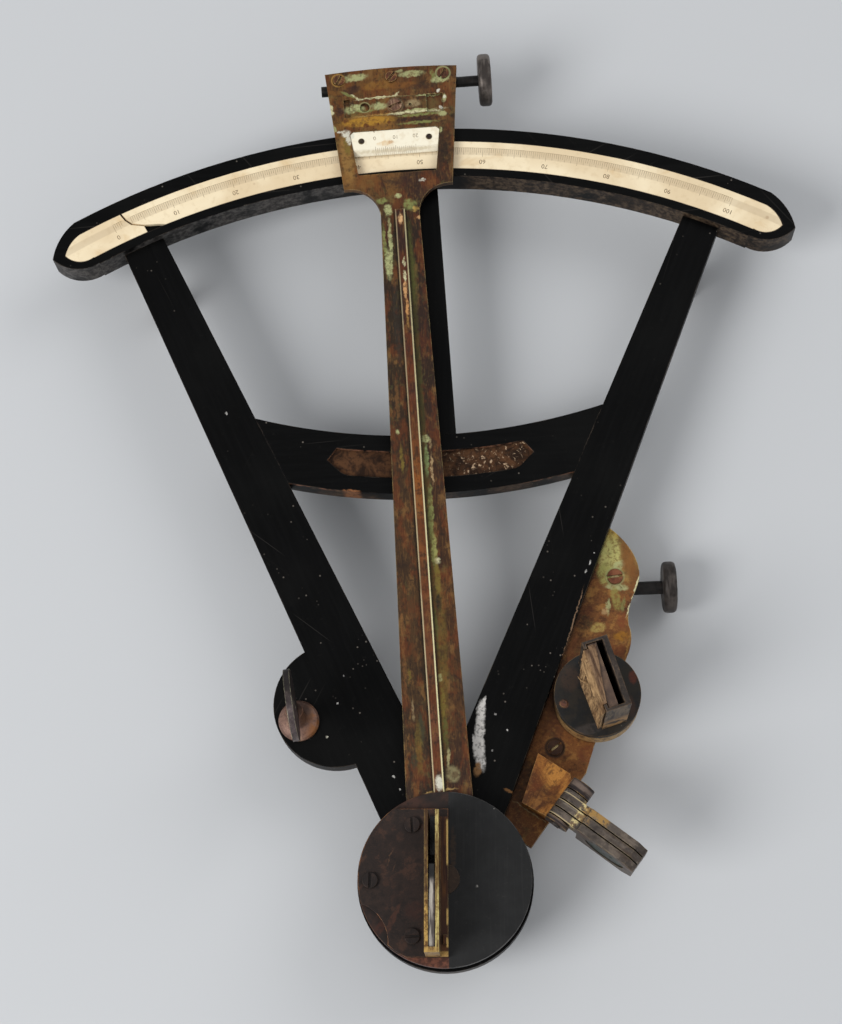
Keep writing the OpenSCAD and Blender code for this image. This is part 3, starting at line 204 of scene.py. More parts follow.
    def spot(self, co, crumbs, x, y, rx, ry, paint, amount=1, tilt=0):
        blob = self.blob(co, x, y, rx, ry, tilt)
        self.over(paint, blob, crumbs, *(() if amount == 1 else (amount,)))

    def radius(self):
        """Distance from the pivot's axis, in millimetres."""
        flat = self.mapped(self.raw, (1, 1, 0))
        return self.m2("DIVIDE", self.n("VectorMath", {0: flat}, "Value", operation="LENGTH"), MM)

    def ring(self, x, y, r, width, paint, amount):
        """Paints a ring of radius r about (x, y), as wide as width."""
        outer = self.blob(self.co, x, y, r + width, r + width, soft=0.12)
        inner = self.blob(self.co, x, y, r, r, soft=0.12)
        self.over(paint, self.m2("SUBTRACT", outer, inner, True), amount)

    def edge(self, size):
        """0 on flat places and up to 1 at sharp edges, about that many millimetres wide."""
        rounded = self.n("Bevel", {"Radius": size * MM}, samples=6)
        flat = self.n("NewGeometry", {}, "True Normal")
        dot = self.n("VectorMath", {0: rounded, 1: flat}, "Value", operation="DOT_PRODUCT")
        return self.step(dot, 0.995, 0.72)

    def up(self):
        """How far the surface faces up, from -1 to 1."""
        return self.n("SeparateXYZ", {0: self.n("NewGeometry", {}, "True Normal")}, 2)

    def side(self):
        """1 on upright faces and 0 on flat ones."""
        return self.step(self.m2("ABSOLUTE", self.up()), 0.75, 0.4)

    def corners(self, size):
        """1 in inner corners, for painted shade and the dirt that gathers there."""
        return self.step(self.n("AmbientOcclusion", {"Distance": size * MM}, "AO", samples=4), 0.9, 0.35)

    def finish(self, rough, height, dist, round_):
        """Sets the colour, the roughness, the bump and softly rounded edges."""
        values = {"Base Color": self.color}
        if rough is not None:
            values["Roughness"] = rough
        if round_:
            values["Normal"] = self.n("Bevel", {"Radius": round_ * MM}, samples=6)
        if height is not None:
            bump = {"Strength": 1.0, "Distance": dist * MM, "Height": height}
            if round_:
                bump["Normal"] = values["Normal"]
            values["Normal"] = self.n("Bump", bump)
        self.fill(self.b, values)
        return self.m


def dress(material, *names):
    for name in names:
        slots = nodes[name].data.materials
        slots.clear()
        slots.append(material)


# Ebony


def turned_spot(turn, x, y, rx, ry, paint, amount=1, tilt=0):
    """A spot given in the frame's coordinates, in those of a piece turned by that angle."""
    return (*spun(x, y, -turn), rx, ry, paint, amount, tilt - math.degrees(turn))


def ebony_mat(name, turn, wall_wear_and_light, chips=(), paint=None):
    """Blackened wood: fine grain along the piece, scratches, dust, chips, and upright faces painted lighter
    brown, partly worn wood and partly painted light.
    """
    g = Mat(name, rough=0.38, spec=0.08, turn=turn)
    grain = g.noise(0.9, 5, 0.6, co=g.turned((1, 0.06, 1)))
    broad = g.noise(0.035, 3, 0.5)
    fine = g.noise(0.6, 5, 0.7)
    g.color = g.mix(g.step(grain, 0.35, 0.75), (4, 4, 4), (9, 9, 9))
    g.over((15, 15, 14), g.step(broad, 0.45, 0.7), 0.4)
    g.over((25, 24, 22), g.step(fine, 0.58, 0.72), 0.35)
    for angle, amount in ((0.5, 0.3), (-0.9, 0.22), (0.06, 0.3)):
        lines = g.noise(1.3, 1, 0.4, co=g.turned((1, 0.012, 1), angle))
        g.over((72, 68, 64), g.step(lines, 0.75, 0.785), amount)
    keep = g.step(g.noise(0.11, 2, 0.5), 0.54, 0.64)
    dots = g.times(g.step(g.cells(0.42), 0.15, 0.07), keep, 0.6)
    g.over((128, 120, 110), dots)
    side = g.side()
    patch = g.step(g.noise(0.05, 4, 0.6), 0.46, 0.6)
    # Upright faces painted lighter brown: partly worn wood and partly painted light on the walls.
    worn = g.mix(g.step(fine, 0.4, 0.65), (58, 46, 38), (104, 84, 66))
    g.over(worn, side, patch, wall_wear_and_light)
    g.over((104, 92, 80), g.edge(0.5), g.step(g.noise(0.12, 5, 0.65), 0.44, 0.62), 0.7)
    if chips:
        g.spots(g.wobbled(0.7, 1.6), [turned_spot(turn, *chip) for chip in chips])
    if paint:
        paint(g, fine, side)
    rough = g.m2("ADD", 0.3, g.times(broad, 0.26))
    height = g.m2("ADD", grain, g.times(g.noise(0.16, 3), 2))
    return g.finish(rough, height, 0.03, 0.45)


CHIP = (220, 216, 210)
TAN = (150, 112, 74)
right_chips = [
    (12.6, 51.1, 1.25, 3.4, CHIP, 1, -8), (12.1, 46.1, 1.4, 4.2, CHIP, 1, -3), (11.6, 40.9, 1.6, 4.2, CHIP),
    (11.8, 36.7, 1.5, 3.6, CHIP, 1, 8), (13.7, 54.1, 0.5, 1.8, CHIP, 0.9, -14),
    (10, 41.6, 0.4, 2.4, CHIP, 0.9), (10.9, 33.6, 1.1, 2.1, TAN, 1, -10),
    (48.2, 96.8, 0.35, 0.8, CHIP, 0.8, -22), (46.8, 93.9, 0.3, 0.7, CHIP, 0.7, -22),
    (49.6, 99.6, 0.25, 0.3, CHIP, 0.7), (17, 50.2, 0.35, 0.35, CHIP, 0.8), (20.4, 45.2, 0.3, 0.3, CHIP, 0.7),
    (15.6, 39, 0.25, 0.3, CHIP, 0.7), (20, 26.6, 1.6, 0.5, (120, 84, 50), 0.9, -28),
    (42.4, 78.9, 0.22, 9.7, (140, 112, 88), 0.8, -19), (36.6, 62.2, 0.22, 9.6, (140, 112, 88), 0.8, -19),
    (31.1, 48.3, 0.22, 7, (140, 112, 88), 0.8, -26),
]
left_chips = [
    (-14.6, 32.2, 0.35, 0.5, CHIP, 0.8), (-12.8, 28.2, 0.25, 0.25, CHIP, 0.7),
    (-34.6, 45.2, 0.45, 0.4, WHITE, 0.9), (-31, 55.4, 0.3, 0.25, CHIP, 0.7), (-29, 64, 0.25, 0.3, CHIP, 0.6),
    (-64, 150, 0.3, 0.5, CHIP, 0.6),
]


def bar_paint(g, fine, side):
    """Rust-brown glue in the empty recess, crusted white towards the right, and a worn upper wall."""
    x, y, z = g.axes(g.raw)
    floor = g.times(g.step(z, LIMB_Z - 0.5, LIMB_Z - 0.8), g.step(g.up(), 0.8, 0.95))
    cloud = g.noise(0.22, 5, 0.7, warp=0.8)
    glue = g.mix(g.step(cloud, 0.36, 0.62), (40, 27, 19), (86, 58, 38))
    glue = g.mix(g.times(g.step(fine, 0.5, 0.62), 0.6), glue, (40, 28, 22))
    crust = g.times(g.step(g.noise(0.7, 5, 0.7, warp=0.5), 0.57, 0.64), g.step(x, 2, 9))
    glue = g.mix(g.times(crust, 0.8), glue, (196, 168, 136))
    rim = g.times(g.step(g.noise(0.5, 4), 0.4, 0.6), 0.8)
    wall = g.times(side, g.step(z, LIMB_Z - 1.3, LIMB_Z - 1.1), g.step(z, LIMB_Z + 0.1, LIMB_Z - 0.1),
                   g.step(y, 122.5, 124.5))
    g.over(glue, floor)
    g.over((150, 104, 80), wall, rim)


bar_chips = [
    (4.9, 119.7, 1.5, 0.7, (206, 130, 62), 1, 10), (-25, 122.6, 2.6, 0.5, (150, 100, 66), 0.8, -6),
    (21, 121.2, 3.4, 0.4, (140, 120, 104), 0.7, 5), (-11, 130.6, 0.35, 0.35, WHITE, 0.9),
]


def arc_paint(g, fine, side):
    """The inner wall of the arc catches grey light left of the arm and is worn brown right of it."""
    x = g.axes(g.raw)[0]
    inner = g.times(side, g.step(g.radius(), 236, 232))
    left = g.times(inner, g.step(x, 4, -14), g.step(g.noise(0.1, 4, 0.6), 0.34, 0.52))
    g.over(g.mix(g.step(fine, 0.4, 0.62), (48, 46, 45), (100, 97, 94)), left, 0.7)
    right = g.times(inner, g.step(x, 12, 20), g.step(g.noise(0.08, 5, 0.65), 0.4, 0.52))
    g.over(g.mix(g.step(fine, 0.4, 0.62), (42, 33, 27), (98, 82, 66)), right, 0.8)


arc_chips = [
    (92.6, 201.2, 0.7, 0.6, CHIP, 0.9), (-24, 228.4, 0.4, 0.5, CHIP, 0.9),
    (-24.6, 227, 0.35, 0.35, WHITE, 0.9), (-16.4, 226.6, 0.35, 0.35, CHIP, 0.8),
]

dress(ebony_mat("ebony_left", LIMB_LEAN, 0.25, chips=left_chips), "left_limb")
dress(ebony_mat("ebony_right", -LIMB_LEAN, 0.35, chips=right_chips), "right_limb")
dress(ebony_mat("ebony_arc", ACROSS, 0.3, chips=arc_chips, paint=arc_paint), "graduated_arc")
dress(ebony_mat("ebony_bar", ACROSS, 0.8, chips=bar_chips, paint=bar_paint), "crossbar")
dress(ebony_mat("ebony_strut", 0, 0.3), "centre_strut")

# Ivory


def ivory_mat(name, turn=0, stained=1, pale=False, spots=()):
    """Old ivory with clouds, foxing and a yellowed edge; the scale has a darker band under its ticks."""
    g = Mat(name, rough=0.32, spec=0.45, turn=turn)
    broad = g.noise(0.03, 3, 0.55, warp=0.5)
    cloud = g.noise(0.1, 4, 0.6, warp=0.7)
    fine = g.noise(0.5, 4, 0.6)
    base, tan = ((252, 243, 218), (236, 219, 182)) if pale else ((250, 232, 196), (232, 209, 170))
    g.color = g.mix(g.step(broad, 0.4, 0.62), base, tan)
    g.over((214, 176, 118), g.step(cloud, 0.56, 0.72), 0.4 * stained)
    g.over((206, 180, 138), g.step(fine, 0.5, 0.7), 0.25)
    foxing = g.times(g.step(g.cells(0.16), 0.13, 0.05), g.step(g.noise(0.06, 2), 0.53, 0.6), 0.4 * stained)
    g.over((150, 104, 60), foxing)
    if not pale:
        g.over((170, 148, 118), g.band(g.radius(), 234.4, 236.8, 0.3), 0.3)
    if spots:
        g.spots(g.wobbled(0.8, 1), spots)
    g.over((120, 84, 48), g.edge(0.5), 0.45)
    return g.finish(g.m2("ADD", 0.26, g.times(cloud, 0.2)), fine, 0.01, 0.25)


dress(ivory_mat("ivory_scale_mat"), "ivory_scale", "ivory_scale_end")
stains_and_shade = [
    (-3.4, 238.4, 2.6, 0.8, (226, 190, 138), 0.7, 6), (-1.4, 238.6, 0.8, 0.6, (196, 150, 104), 0.6),
    (-14, 241.8, 0.9, 1, WHITE), (-6.8, 243, 0.4, 0.7, (150, 126, 104), 0.7, 20),
    # The last entry is a band of painted shade along the vernier's bevel.
    (0, 236, 13, 0.5, (214, 198, 164), 0.7),
]
dress(ivory_mat("ivory_vernier_mat", ARM_REST, 0.5, True, stains_and_shade), "vernier_scale")

# Brass

BROWN_TONES = ((44, 29, 20), (88, 56, 33), (128, 92, 50))
DARK_TONES = ((28, 21, 17), (54, 41, 33), (88, 70, 56))
OCHRE_TONES = ((76, 44, 24), (128, 80, 40), (162, 114, 58))


def brass_mat(name, turn, tones, green=0.3, shine=0.45, rough=0.44, streak=0.12, spots=(), rings=(),
              base=None, paint=None, glint=(196, 172, 112), worn=0.7, corner_dirt_and_shade=0.7):
    """Old brass: brown patina, rubbed ochre places, pale green verdigris, bright edges that are partly rubbed
    metal and partly a painted highlight, and dirt with painted shade in inner corners.
    """
    dark, mid, light = tones
    g = Mat(name, rough=rough, metal=shine, spec=0.4, turn=turn)
    x, y, z = g.axes()
    along = g.turned((1, 0.4, 1)) if base else g.co
    cloud = g.noise(0.09, 5, 0.64, warp=0.7)
    fine = g.noise(0.55, 5, 0.7)
    pit = g.noise(0.3 if base else 0.24, 5, 0.66, co=along)
    brushed = g.noise(2.2, 5, 0.62, co=g.turned((1, streak, 1)))
    g.color = base(g, x, y) if base else mid
    g.over(dark, g.step(cloud, 0.6, 0.4), 0.5)
    g.over(light, g.step(pit, 0.53, 0.64), 0.75)
    g.over(dark, g.step(pit, 0.46, 0.35), 0.75)
    g.over(dark, g.step(fine, 0.52, 0.64), 0.6)
    if base:
        g.over((112, 56, 24), g.step(g.noise(0.26, 5, 0.66, co=along), 0.48, 0.6), 0.55)
    g.over(light, g.step(brushed, 0.52, 0.68), 0.45)
    g.over(dark, g.step(brushed, 0.47, 0.32), 0.5)
    crust = g.times(g.step(g.noise(0.14, 6, 0.7, warp=0.8), 0.57, 0.66), green)
    g.over(GREEN, crust)
    g.spots(g.wobbled(0.7, 1.9, 4), spots)
    for item in rings:
        g.ring(*item)
    if paint:
        paint(g, x, y, z, fine)
    g.over(DARK, g.step(fine, 0.5, 0.66), 0.18)
    # Bright edges in the glint colour: partly rubbed metal and partly a painted highlight.
    edge = g.times(g.edge(0.42), g.step(g.noise(0.3, 4, 0.6), 0.36, 0.6), worn)
    g.over(glint, edge)
    # Inner corners darkened: dirt and painted shade.
    g.over((18, 13, 9), g.corners(1.2), corner_dirt_and_shade)
    roughness = g.m2("ADD", rough - 0.1, g.times(fine, 0.3))
    height = g.m2("ADD", g.times(fine, 0.7), g.times(crust, 1.2))
    return g.finish(roughness, height, 0.035, 0.3)


plate_spots = [
    # above the channel
    (-12, 262.2, 4, 1.3, PALE, 0.85, 4), (6.6, 262.3, 4, 1.1, PALE, 0.8, 2),
    (2.8, 263.4, 1.2, 0.5, PALE, 0.6), (15.9, 259.6, 2.8, 1.2, PALE, 0.95, 8),
    (13.6, 261.6, 0.8, 1.6, GREEN, 0.7, 10), (-4.5, 259, 5.5, 1.6, OCHRE, 0.5, 4),
    (3.5, 258.4, 4.5, 1.1, (132, 84, 36), 0.7), (-13.5, 257.6, 3.5, 1.4, PURPLE, 0.7, 20),
    (9.4, 257.6, 4.5, 1, PURPLE, 0.6), (-14.2, 256.2, 3, 0.5, GREEN, 0.7, -28),
    (-12, 255.2, 1.7, 0.34, CREAM, 0.9, -38), (-4.9, 254.6, 6.4, 0.36, CREAM, 0.95, 2),
    (1.5, 255.5, 0.9, 0.34, CREAM, 0.9, 60), (11.6, 254.3, 3.6, 0.3, PALE, 0.9, 1),
    # in and below the channel
    (-12.9, 251.3, 3.4, 1.35, PALE, 0.95, 2), (-4.6, 251.5, 2.6, 1.25, PALE, 0.85),
    (-9.3, 250.2, 3, 0.5, GREEN, 0.8), (6.6, 251.7, 2.5, 1.4, BEIGE, 0.85, 4),
    (12.2, 251.6, 3, 1.9, (104, 82, 44), 0.9, 2), (-17.6, 250.6, 1.6, 1.6, PURPLE, 0.8),
    (7.2, 248.7, 8.8, 0.5, CREAM, 1, 2.2), (8.6, 249.4, 5, 0.4, PALE, 0.8, 2),
    (-7, 248.4, 6.2, 0.3, GOLD, 0.7, 2), (8.4, 246.1, 6.8, 1, PURPLE, 0.9, 1),
    (8.2, 247.5, 6.6, 0.42, GREEN, 0.85, 1), (8, 244.8, 6.6, 0.42, GREEN, 0.85, 1),
    (-8.6, 246.4, 8.4, 1.6, (182, 134, 46), 0.95, 2), (-9, 245, 1, 0.7, RED, 0.85),
    (-13.2, 245.4, 0.7, 0.6, RED, 0.8), (-5.4, 245.2, 0.6, 0.5, RED, 0.8), (-1.6, 245.6, 0.8, 0.5, RED, 0.7),
    (-15.6, 247, 0.9, 0.6, RED, 0.7), (15.6, 247.6, 1.6, 1, PALE, 0.8, -10),
    (16.8, 252.8, 0.7, 1.4, PALE, 0.8), (15.1, 255.6, 0.65, 0.6, WHITE), (16.8, 253.3, 0.45, 0.5, WHITE, 0.9),
    (15.6, 250, 0.75, 0.55, WHITE),
    # edges and beside the window
    (-20.3, 251.4, 0.7, 2, CREAM, 0.9, 6), (-19.4, 244.6, 0.5, 1.2, PALE, 0.7),
    (-16, 234, 1.9, 8.5, (158, 120, 64), 0.8, 4), (-15.7, 238, 1, 3, OLIVE, 0.8, 5),
    (15.9, 236, 2.4, 8.5, DARK, 0.65), (-15.9, 242.6, 1.5, 1.3, WHITE, 0.95),
    (-15, 240.2, 0.8, 1.7, WHITE, 0.85), (-17.9, 243.4, 0.8, 0.5, WHITE, 0.8),
    (15, 241.6, 0.6, 0.9, PALE, 0.8), (0.5, 224.3, 6, 1.8, PURPLE, 0.65),
    (-10, 225.4, 4, 2.2, (120, 78, 36), 0.6), (8, 224.6, 1, 0.5, WHITE, 0.9), (7, 220.6, 3, 2, PURPLE, 0.5),
]
arm_spots = plate_spots + [
    # neck and upper arm
    (-0.3, 219.7, 1.1, 0.9, PALE, 0.95), (-5.6, 218.2, 1.6, 1, GREEN, 0.9, 10),
    (-3.8, 214.9, 1.2, 1.9, PALE, 0.9), (3.2, 216.2, 2, 1.9, GREEN, 0.95, -20),
    (5, 214.6, 1.1, 1, (196, 160, 84), 0.95), (-6.9, 214, 0.6, 1, CREAM, 0.9),
    (6, 211.6, 0.6, 0.8, (206, 160, 110), 0.9), (-3.7, 204, 0.55, 7.6, PALE, 0.9, 0.5),
    (-5.6, 203.6, 0.55, 6.2, GREEN, 0.9), (-4.7, 196.2, 1.15, 4.8, PALE, 0.95, 1),
    (-4.6, 206.5, 0.3, 4, PURPLE, 0.8), (2.5, 196, 0.55, 14, MOSS, 0.9), (3.4, 190, 0.8, 9, MOSS, 0.5),
    (-3.2, 176, 1.2, 14, (52, 46, 38), 0.7), (4.6, 176, 1.8, 16, PURPLE, 0.5),
    # middle
    (3, 137.2, 1.2, 1.3, PALE, 0.95), (3, 130, 0.65, 5, TEAL, 0.95, -1),
    (3.2, 113, 0.8, 9.5, GREEN, 0.85, -2), (3.5, 101, 0.9, 5, (160, 158, 92), 0.9, -2),
    (-5.4, 140, 0.75, 0.8, PALE, 0.85), (-4.6, 131.2, 0.55, 4.4, OLIVE, 0.9),
    (-4.9, 150, 0.6, 7, (110, 76, 42), 0.8), (4.5, 127, 0.4, 5, (190, 160, 116), 0.75),
    (4.6, 135.6, 0.45, 1.6, BEIGE, 0.7), (5.3, 144, 1, 6, PURPLE, 0.6),
    # lower
    (4.3, 97.6, 0.8, 1, CREAM, 0.8), (3.9, 92, 0.7, 6.5, OLIVE, 0.9), (3.9, 84.4, 0.8, 2.8, DARK, 0.9),
    (2.5, 76, 0.5, 7, MOSS, 0.8), (2.5, 61, 0.8, 1.2, PALE, 0.8), (3.6, 62, 1.5, 24, OLIVE, 0.4, -3),
    (0.6, 26.6, 4.6, 0.45, (214, 176, 110), 0.9, 5), (2.9, 53.5, 0.7, 5, OLIVE, 0.9, -2),
    (3.3, 44, 0.8, 4.6, MOSS, 0.8), (3.5, 36.4, 0.6, 2.8, (186, 178, 126), 0.7, -6),
    (4.4, 31.4, 2.1, 2.5, (158, 148, 106), 0.65, 20), (5, 31.2, 1, 1.1, BROWN, 0.6, 30),
    (-6.5, 62.7, 0.4, 1.8, OLIVE, 0.7), (-6.3, 51.6, 0.45, 3, BEIGE, 0.6),
    (-4, 46, 0.8, 4.5, (66, 62, 42), 0.9), (-6.8, 36, 0.9, 2.6, (66, 62, 42), 0.8),
    (-5.2, 40, 1, 8, OLIVE, 0.4), (-4.6, 80, 1.2, 12, (84, 60, 34), 0.6),
    (-8, 70, 0.5, 16, (150, 100, 56), 0.4),
]


def up_the_arm(g, y, shake):
    """Place along the arm from 0 to about 1, shaken so that no tone ends in a straight line."""
    waves = g.m2("SUBTRACT", g.noise(0.07, 4, 0.6), 0.5)
    return g.m2("ADD", g.m2("DIVIDE", y, 270), g.times(waves, shake))


def arm_base(g, x, y):
    """The arm's own colour from the disc up to the top of the end plate, darker on its right side."""
    along = up_the_arm(g, y, 0.07)
    places = (0.08, 0.16, 0.3, 0.42, 0.54, 0.66, 0.77, 0.84, 0.9, 0.97)
    left = g.ramp(along, places, ((58, 42, 32), (70, 50, 30), (76, 53, 28), (72, 49, 27), (58, 41, 24),
                                  (49, 39, 25), (70, 53, 32), (134, 92, 44), (140, 98, 42), (122, 80, 36)))
    right = g.ramp(along, places, ((66, 40, 32), (80, 52, 28), (88, 56, 26), (76, 46, 23), (54, 34, 21),
                                   (44, 30, 20), (44, 31, 21), (70, 45, 28), (104, 72, 38), (108, 70, 34)))
    return g.mix(g.step(x, -3, 3), left, right)


def arm_paint(g, x, y, z, fine):
    """Dirt and painted shade in the crease beside the rib, and moss-green stains on its right."""
    crease_dirt_and_shade = g.times(g.band(g.m2("ABSOLUTE", x), 1.6, 2.2, 0.2), g.step(y, 218, 210), 0.6)
    g.over((34, 32, 22), crease_dirt_and_shade)
    moss = g.times(g.band(x, 1.7, 3.4, 0.5), g.step(y, 70, 100), g.step(y, 214, 206))
    g.over((78, 76, 34), moss, g.step(fine, 0.34, 0.5), 0.5)


rib_spots = [
    (0, 211.2, 0.6, 1.9, (226, 180, 128)), (0.2, 196.3, 0.35, 1.6, CREAM, 0.9),
    (0.2, 191.3, 0.5, 1.8, CREAM, 0.95), (0, 186.8, 0.65, 3, (222, 168, 112), 0.95),
    (0.2, 181, 0.5, 2.6, (216, 158, 98), 0.9), (0.2, 176, 0.3, 2, GOLD, 0.6),
    (-0.3, 216.4, 1, 1.2, DARK, 0.9), (0.2, 28.8, 1.3, 2.3, WHITE, 0.95),
]


def rib_base(g, x, y):
    return g.ramp(up_the_arm(g, y, 0.06), (0.1, 0.3, 0.47, 0.55, 0.7, 0.8),
                  ((112, 66, 44), (116, 68, 38), (142, 82, 32), (98, 52, 32), (66, 34, 28), (56, 32, 26)))


def rib_paint(g, x, y, z, fine):
    """Bright edges, yellow-white on the right and greyer on the left: partly rubbed metal and partly a
    painted highlight.
    """
    long_ = g.noise(0.5, 4, 0.6, co=g.turned((1, 0.08, 1)))
    strong = g.step(y, 215, 60, 0.5, 1)
    right = g.times(g.step(x, 1.05, 1.3), g.step(long_, 0.3, 0.46), strong)
    g.over((236, 226, 176), right)
    left = g.times(g.step(x, -1.1, -1.35), g.step(long_, 0.34, 0.5), strong)
    g.over((198, 180, 142), left)


arm_rings = [
    (-17.3, 261.7, 1.95, 0.4, GOLD, 0.8), (17, 261.7, 2, 0.5, PALE, 0.7),
    (-9.3, 251.4, 1.65, 0.3, PALE, 0.45), (0.7, 251.4, 2.2, 0.5, (170, 148, 112), 0.45),
]
dress(brass_mat("arm_brass", ARM_REST, BROWN_TONES, 0.12, spots=arm_spots, rings=arm_rings, base=arm_base,
                paint=arm_paint), "index_arm")
dress(brass_mat("slide_brass", ARM_REST, BROWN_TONES, 0.2, spots=plate_spots, rings=arm_rings, base=arm_base,
                glint=PALE), "clamp_slide")
dress(brass_mat("rib_brass", ARM_REST, BROWN_TONES, 0, spots=rib_spots, base=rib_base, paint=rib_paint),
      "arm_rib")
screw_tones = ((60, 34, 26), (112, 66, 42), (170, 128, 78))
dress(brass_mat("end_screw_brass", ARM_REST, screw_tones, 0.1, glint=(226, 190, 118)), "end_plate_screws")
dress(brass_mat("slide_screw_brass", ARM_REST, ((88, 60, 46), (138, 100, 78), (190, 156, 126)), 0.3,
                corner_dirt_and_shade=0.2), "slide_screw")

# Pivot disc and index mirror


def black_mat(name, turn, bare_left, spots=()):
    """Matte black paint over brass; on the pivot disc the part left of the mirror is bare and brown."""
    g = Mat(name, rough=0.6, spec=0.3, turn=turn)
    x, y = g.axes()[:2]
    fine = g.noise(0.5, 5, 0.68)
    cloud = g.noise(0.06, 4, 0.6)
    brushed = g.noise(1.6, 3, 0.5, co=g.turned((1, 0.03, 1)))
    g.color = g.mix(g.step(cloud, 0.4, 0.65), (21, 21, 21), (32, 32, 32))
    g.over((48, 47, 46), g.step(brushed, 0.5, 0.7), 0.2)
    g.over((56, 54, 52), g.step(fine, 0.58, 0.72), 0.4)
    scratch = g.noise(1.2, 1, 0.4, co=g.turned((1, 0.02, 1), 0.7))
    g.over((84, 80, 76), g.step(scratch, 0.74, 0.78), 0.35)
    dots = g.times(g.step(g.cells(0.35), 0.08, 0.04), g.step(g.noise(0.12, 2), 0.56, 0.62))
    g.over((150, 146, 140), dots, 0.7)
    side = g.side()
    if bare_left:
        bare = g.mix(g.step(cloud, 0.4, 0.62), (28, 21, 18), (62, 38, 28))
        bare = g.mix(g.times(g.step(fine, 0.5, 0.66), 0.6), bare, (28, 22, 18))
        left = g.step(x, 1.3, 0.9)
        g.over(bare, left)
        # Painted light: the front rim of the bare half lighter brown, and the disc's upright walls grey on
        # the right and brownish on the left.
        front = g.times(left, g.step(y, -21.4, -22.6))
        g.over(g.mix(g.step(fine, 0.4, 0.6), (70, 40, 30), (112, 68, 50)), front)
        right_wall_light = g.times(side, g.step(x, 2, 8), g.step(y, 6, -8))
        g.over((96, 93, 91), right_wall_light, 0.8)
        left_wall_light = g.times(side, g.step(x, 1, -6), g.step(y, 8, -10))
        g.over((92, 70, 64), left_wall_light, 0.7)
    else:
        g.over((44, 37, 28), g.step(g.noise(0.16, 5, 0.66, warp=0.5), 0.42, 0.6), 0.7)
    if spots:
        g.spots(g.wobbled(0.6, 1.4), spots)
    # Painted highlight on the edges.
    edge = g.times(g.edge(0.5), g.step(g.noise(0.25, 4, 0.6), 0.36, 0.58))
    glint = g.mix(g.step(x, 0, 3), (128, 86, 58), (112, 108, 104)) if bare_left else (154, 116, 68)
    g.over(glint, edge, 0.7)
    return g.finish(g.m2("ADD", 0.48, g.times(fine, 0.25)), fine, 0.03, 0.4)


disc_spots = [
    (-19, -14, 1.2, 5, (64, 34, 24), 0.8, -35), (-22, -10, 1.6, 5, (30, 24, 22), 0.7, -20),
    (9.5, -2, 0.35, 0.35, (150, 146, 140), 0.8), (2.4, 8, 0.9, 7, (66, 48, 34), 0.5),
]
dress(black_mat("disc_paint", MIRROR_TURN, True, disc_spots), "pivot_disc")
boss_spots = [
    (37.9, 52.1, 1.25, 1.25, (110, 70, 55), 0.9), (59.3, 59.5, 1.3, 2, (96, 46, 30), 0.85),
    (57.2, 51, 2.2, 3.6, (74, 50, 38), 0.6, 20), (40, 60, 3, 4, (62, 46, 36), 0.7),
    (45, 44, 5, 1.6, (74, 66, 62), 0.5, 10),
]
dress(black_mat("boss_paint", 0, False, boss_spots), "horizon_disc")

mirror_tones = ((27, 20, 17), (47, 34, 28), (72, 48, 36))
base_spots = [
    (-8.5, -9.5, 3.2, 2.6, (62, 34, 26), 0.45), (-5, -14, 1.4, 3.2, (92, 60, 34), 0.6),
    (-16, 6.5, 0.14, 2.6, (104, 74, 52), 0.6, -18), (-15, 3.4, 0.12, 1.3, (112, 80, 56), 0.6, -18),
    (-14, -3, 5, 4, (36, 25, 21), 0.5), (-11, 12, 5.5, 4, (34, 24, 20), 0.6),
    (-15.6, -12.5, 0.8, 5.6, (80, 48, 34), 0.6, -26),
]
dress(brass_mat("mirror_plate_brass", MIRROR_TURN, mirror_tones, 0, 0.35, 0.5, 1, base_spots,
                glint=(184, 124, 76), worn=0.95), "mirror_plate")
dress(brass_mat("mirror_screw_brass", MIRROR_TURN, ((22, 17, 15), (38, 28, 24), (58, 42, 34)), 0, 0.35,
                glint=(84, 62, 48), worn=0.5), "mirror_plate_screws")
dress(brass_mat("shaft_brass", MIRROR_TURN, ((44, 33, 26), (60, 44, 32), (78, 58, 42)), 0, 0.35,
                glint=(84, 66, 48), worn=0.3), "pivot_shaft")


def mirror_frame_paint(g, x, y, z, fine):
    """Bright worn tops of the walls, and the rust-brown foot along the frame's right side."""
    long_ = g.noise(0.45, 5, 0.7, co=g.turned((1, 0.1, 1)))
    top = g.step(z, 51.6, 52)
    left = g.times(top, g.step(x, -4.3, -4.5))
    gold = g.mix(g.step(fine, 0.42, 0.6), (196, 158, 86), (112, 78, 40))
    g.over((74, 50, 28), left)
    g.over(gold, left, g.step(long_, 0.36, 0.56), g.step(y, 8, -6, 0.45, 0.95))
    right = g.times(top, g.step(x, -2.5, -2.3))
    bright = g.mix(g.times(g.step(fine, 0.5, 0.62), 0.75), (212, 194, 124), (116, 74, 38))
    g.over(g.mix(g.step(long_, 0.42, 0.58), (104, 76, 38), bright), right)
    ledge = g.times(g.step(z, 40, 39), g.step(x, -1.35, -1.25))
    rust = g.mix(g.step(long_, 0.4, 0.62), (98, 62, 32), (56, 32, 24))
    rust = g.mix(g.times(g.band(y, -17, -5, 1.5), 0.6), rust, PURPLE)
    g.over(rust, ledge)
    parts = [g.band(y, 3.9, 17, 0.6), g.band(y, -13.6, -9.1, 0.5), g.band(y, -20.1, -17.5, 0.4)]
    broken = g.m2("MAXIMUM", parts[0], g.m2("MAXIMUM", parts[1], parts[2]))
    line = g.times(ledge, g.step(x, 0.4, 0.62), broken, g.step(long_, 0.34, 0.44))
    g.over((214, 178, 106), line)
    front = g.times(g.step(y, -21, -21.6), g.step(fine, 0.38, 0.56), 0.8)
    g.over((184, 148, 84), front)


dress(brass_mat("mirror_frame_brass", MIRROR_TURN, BROWN_TONES, 0, 0.4, streak=0.1,
                paint=mirror_frame_paint, worn=0.5), "index_mirror_frame")


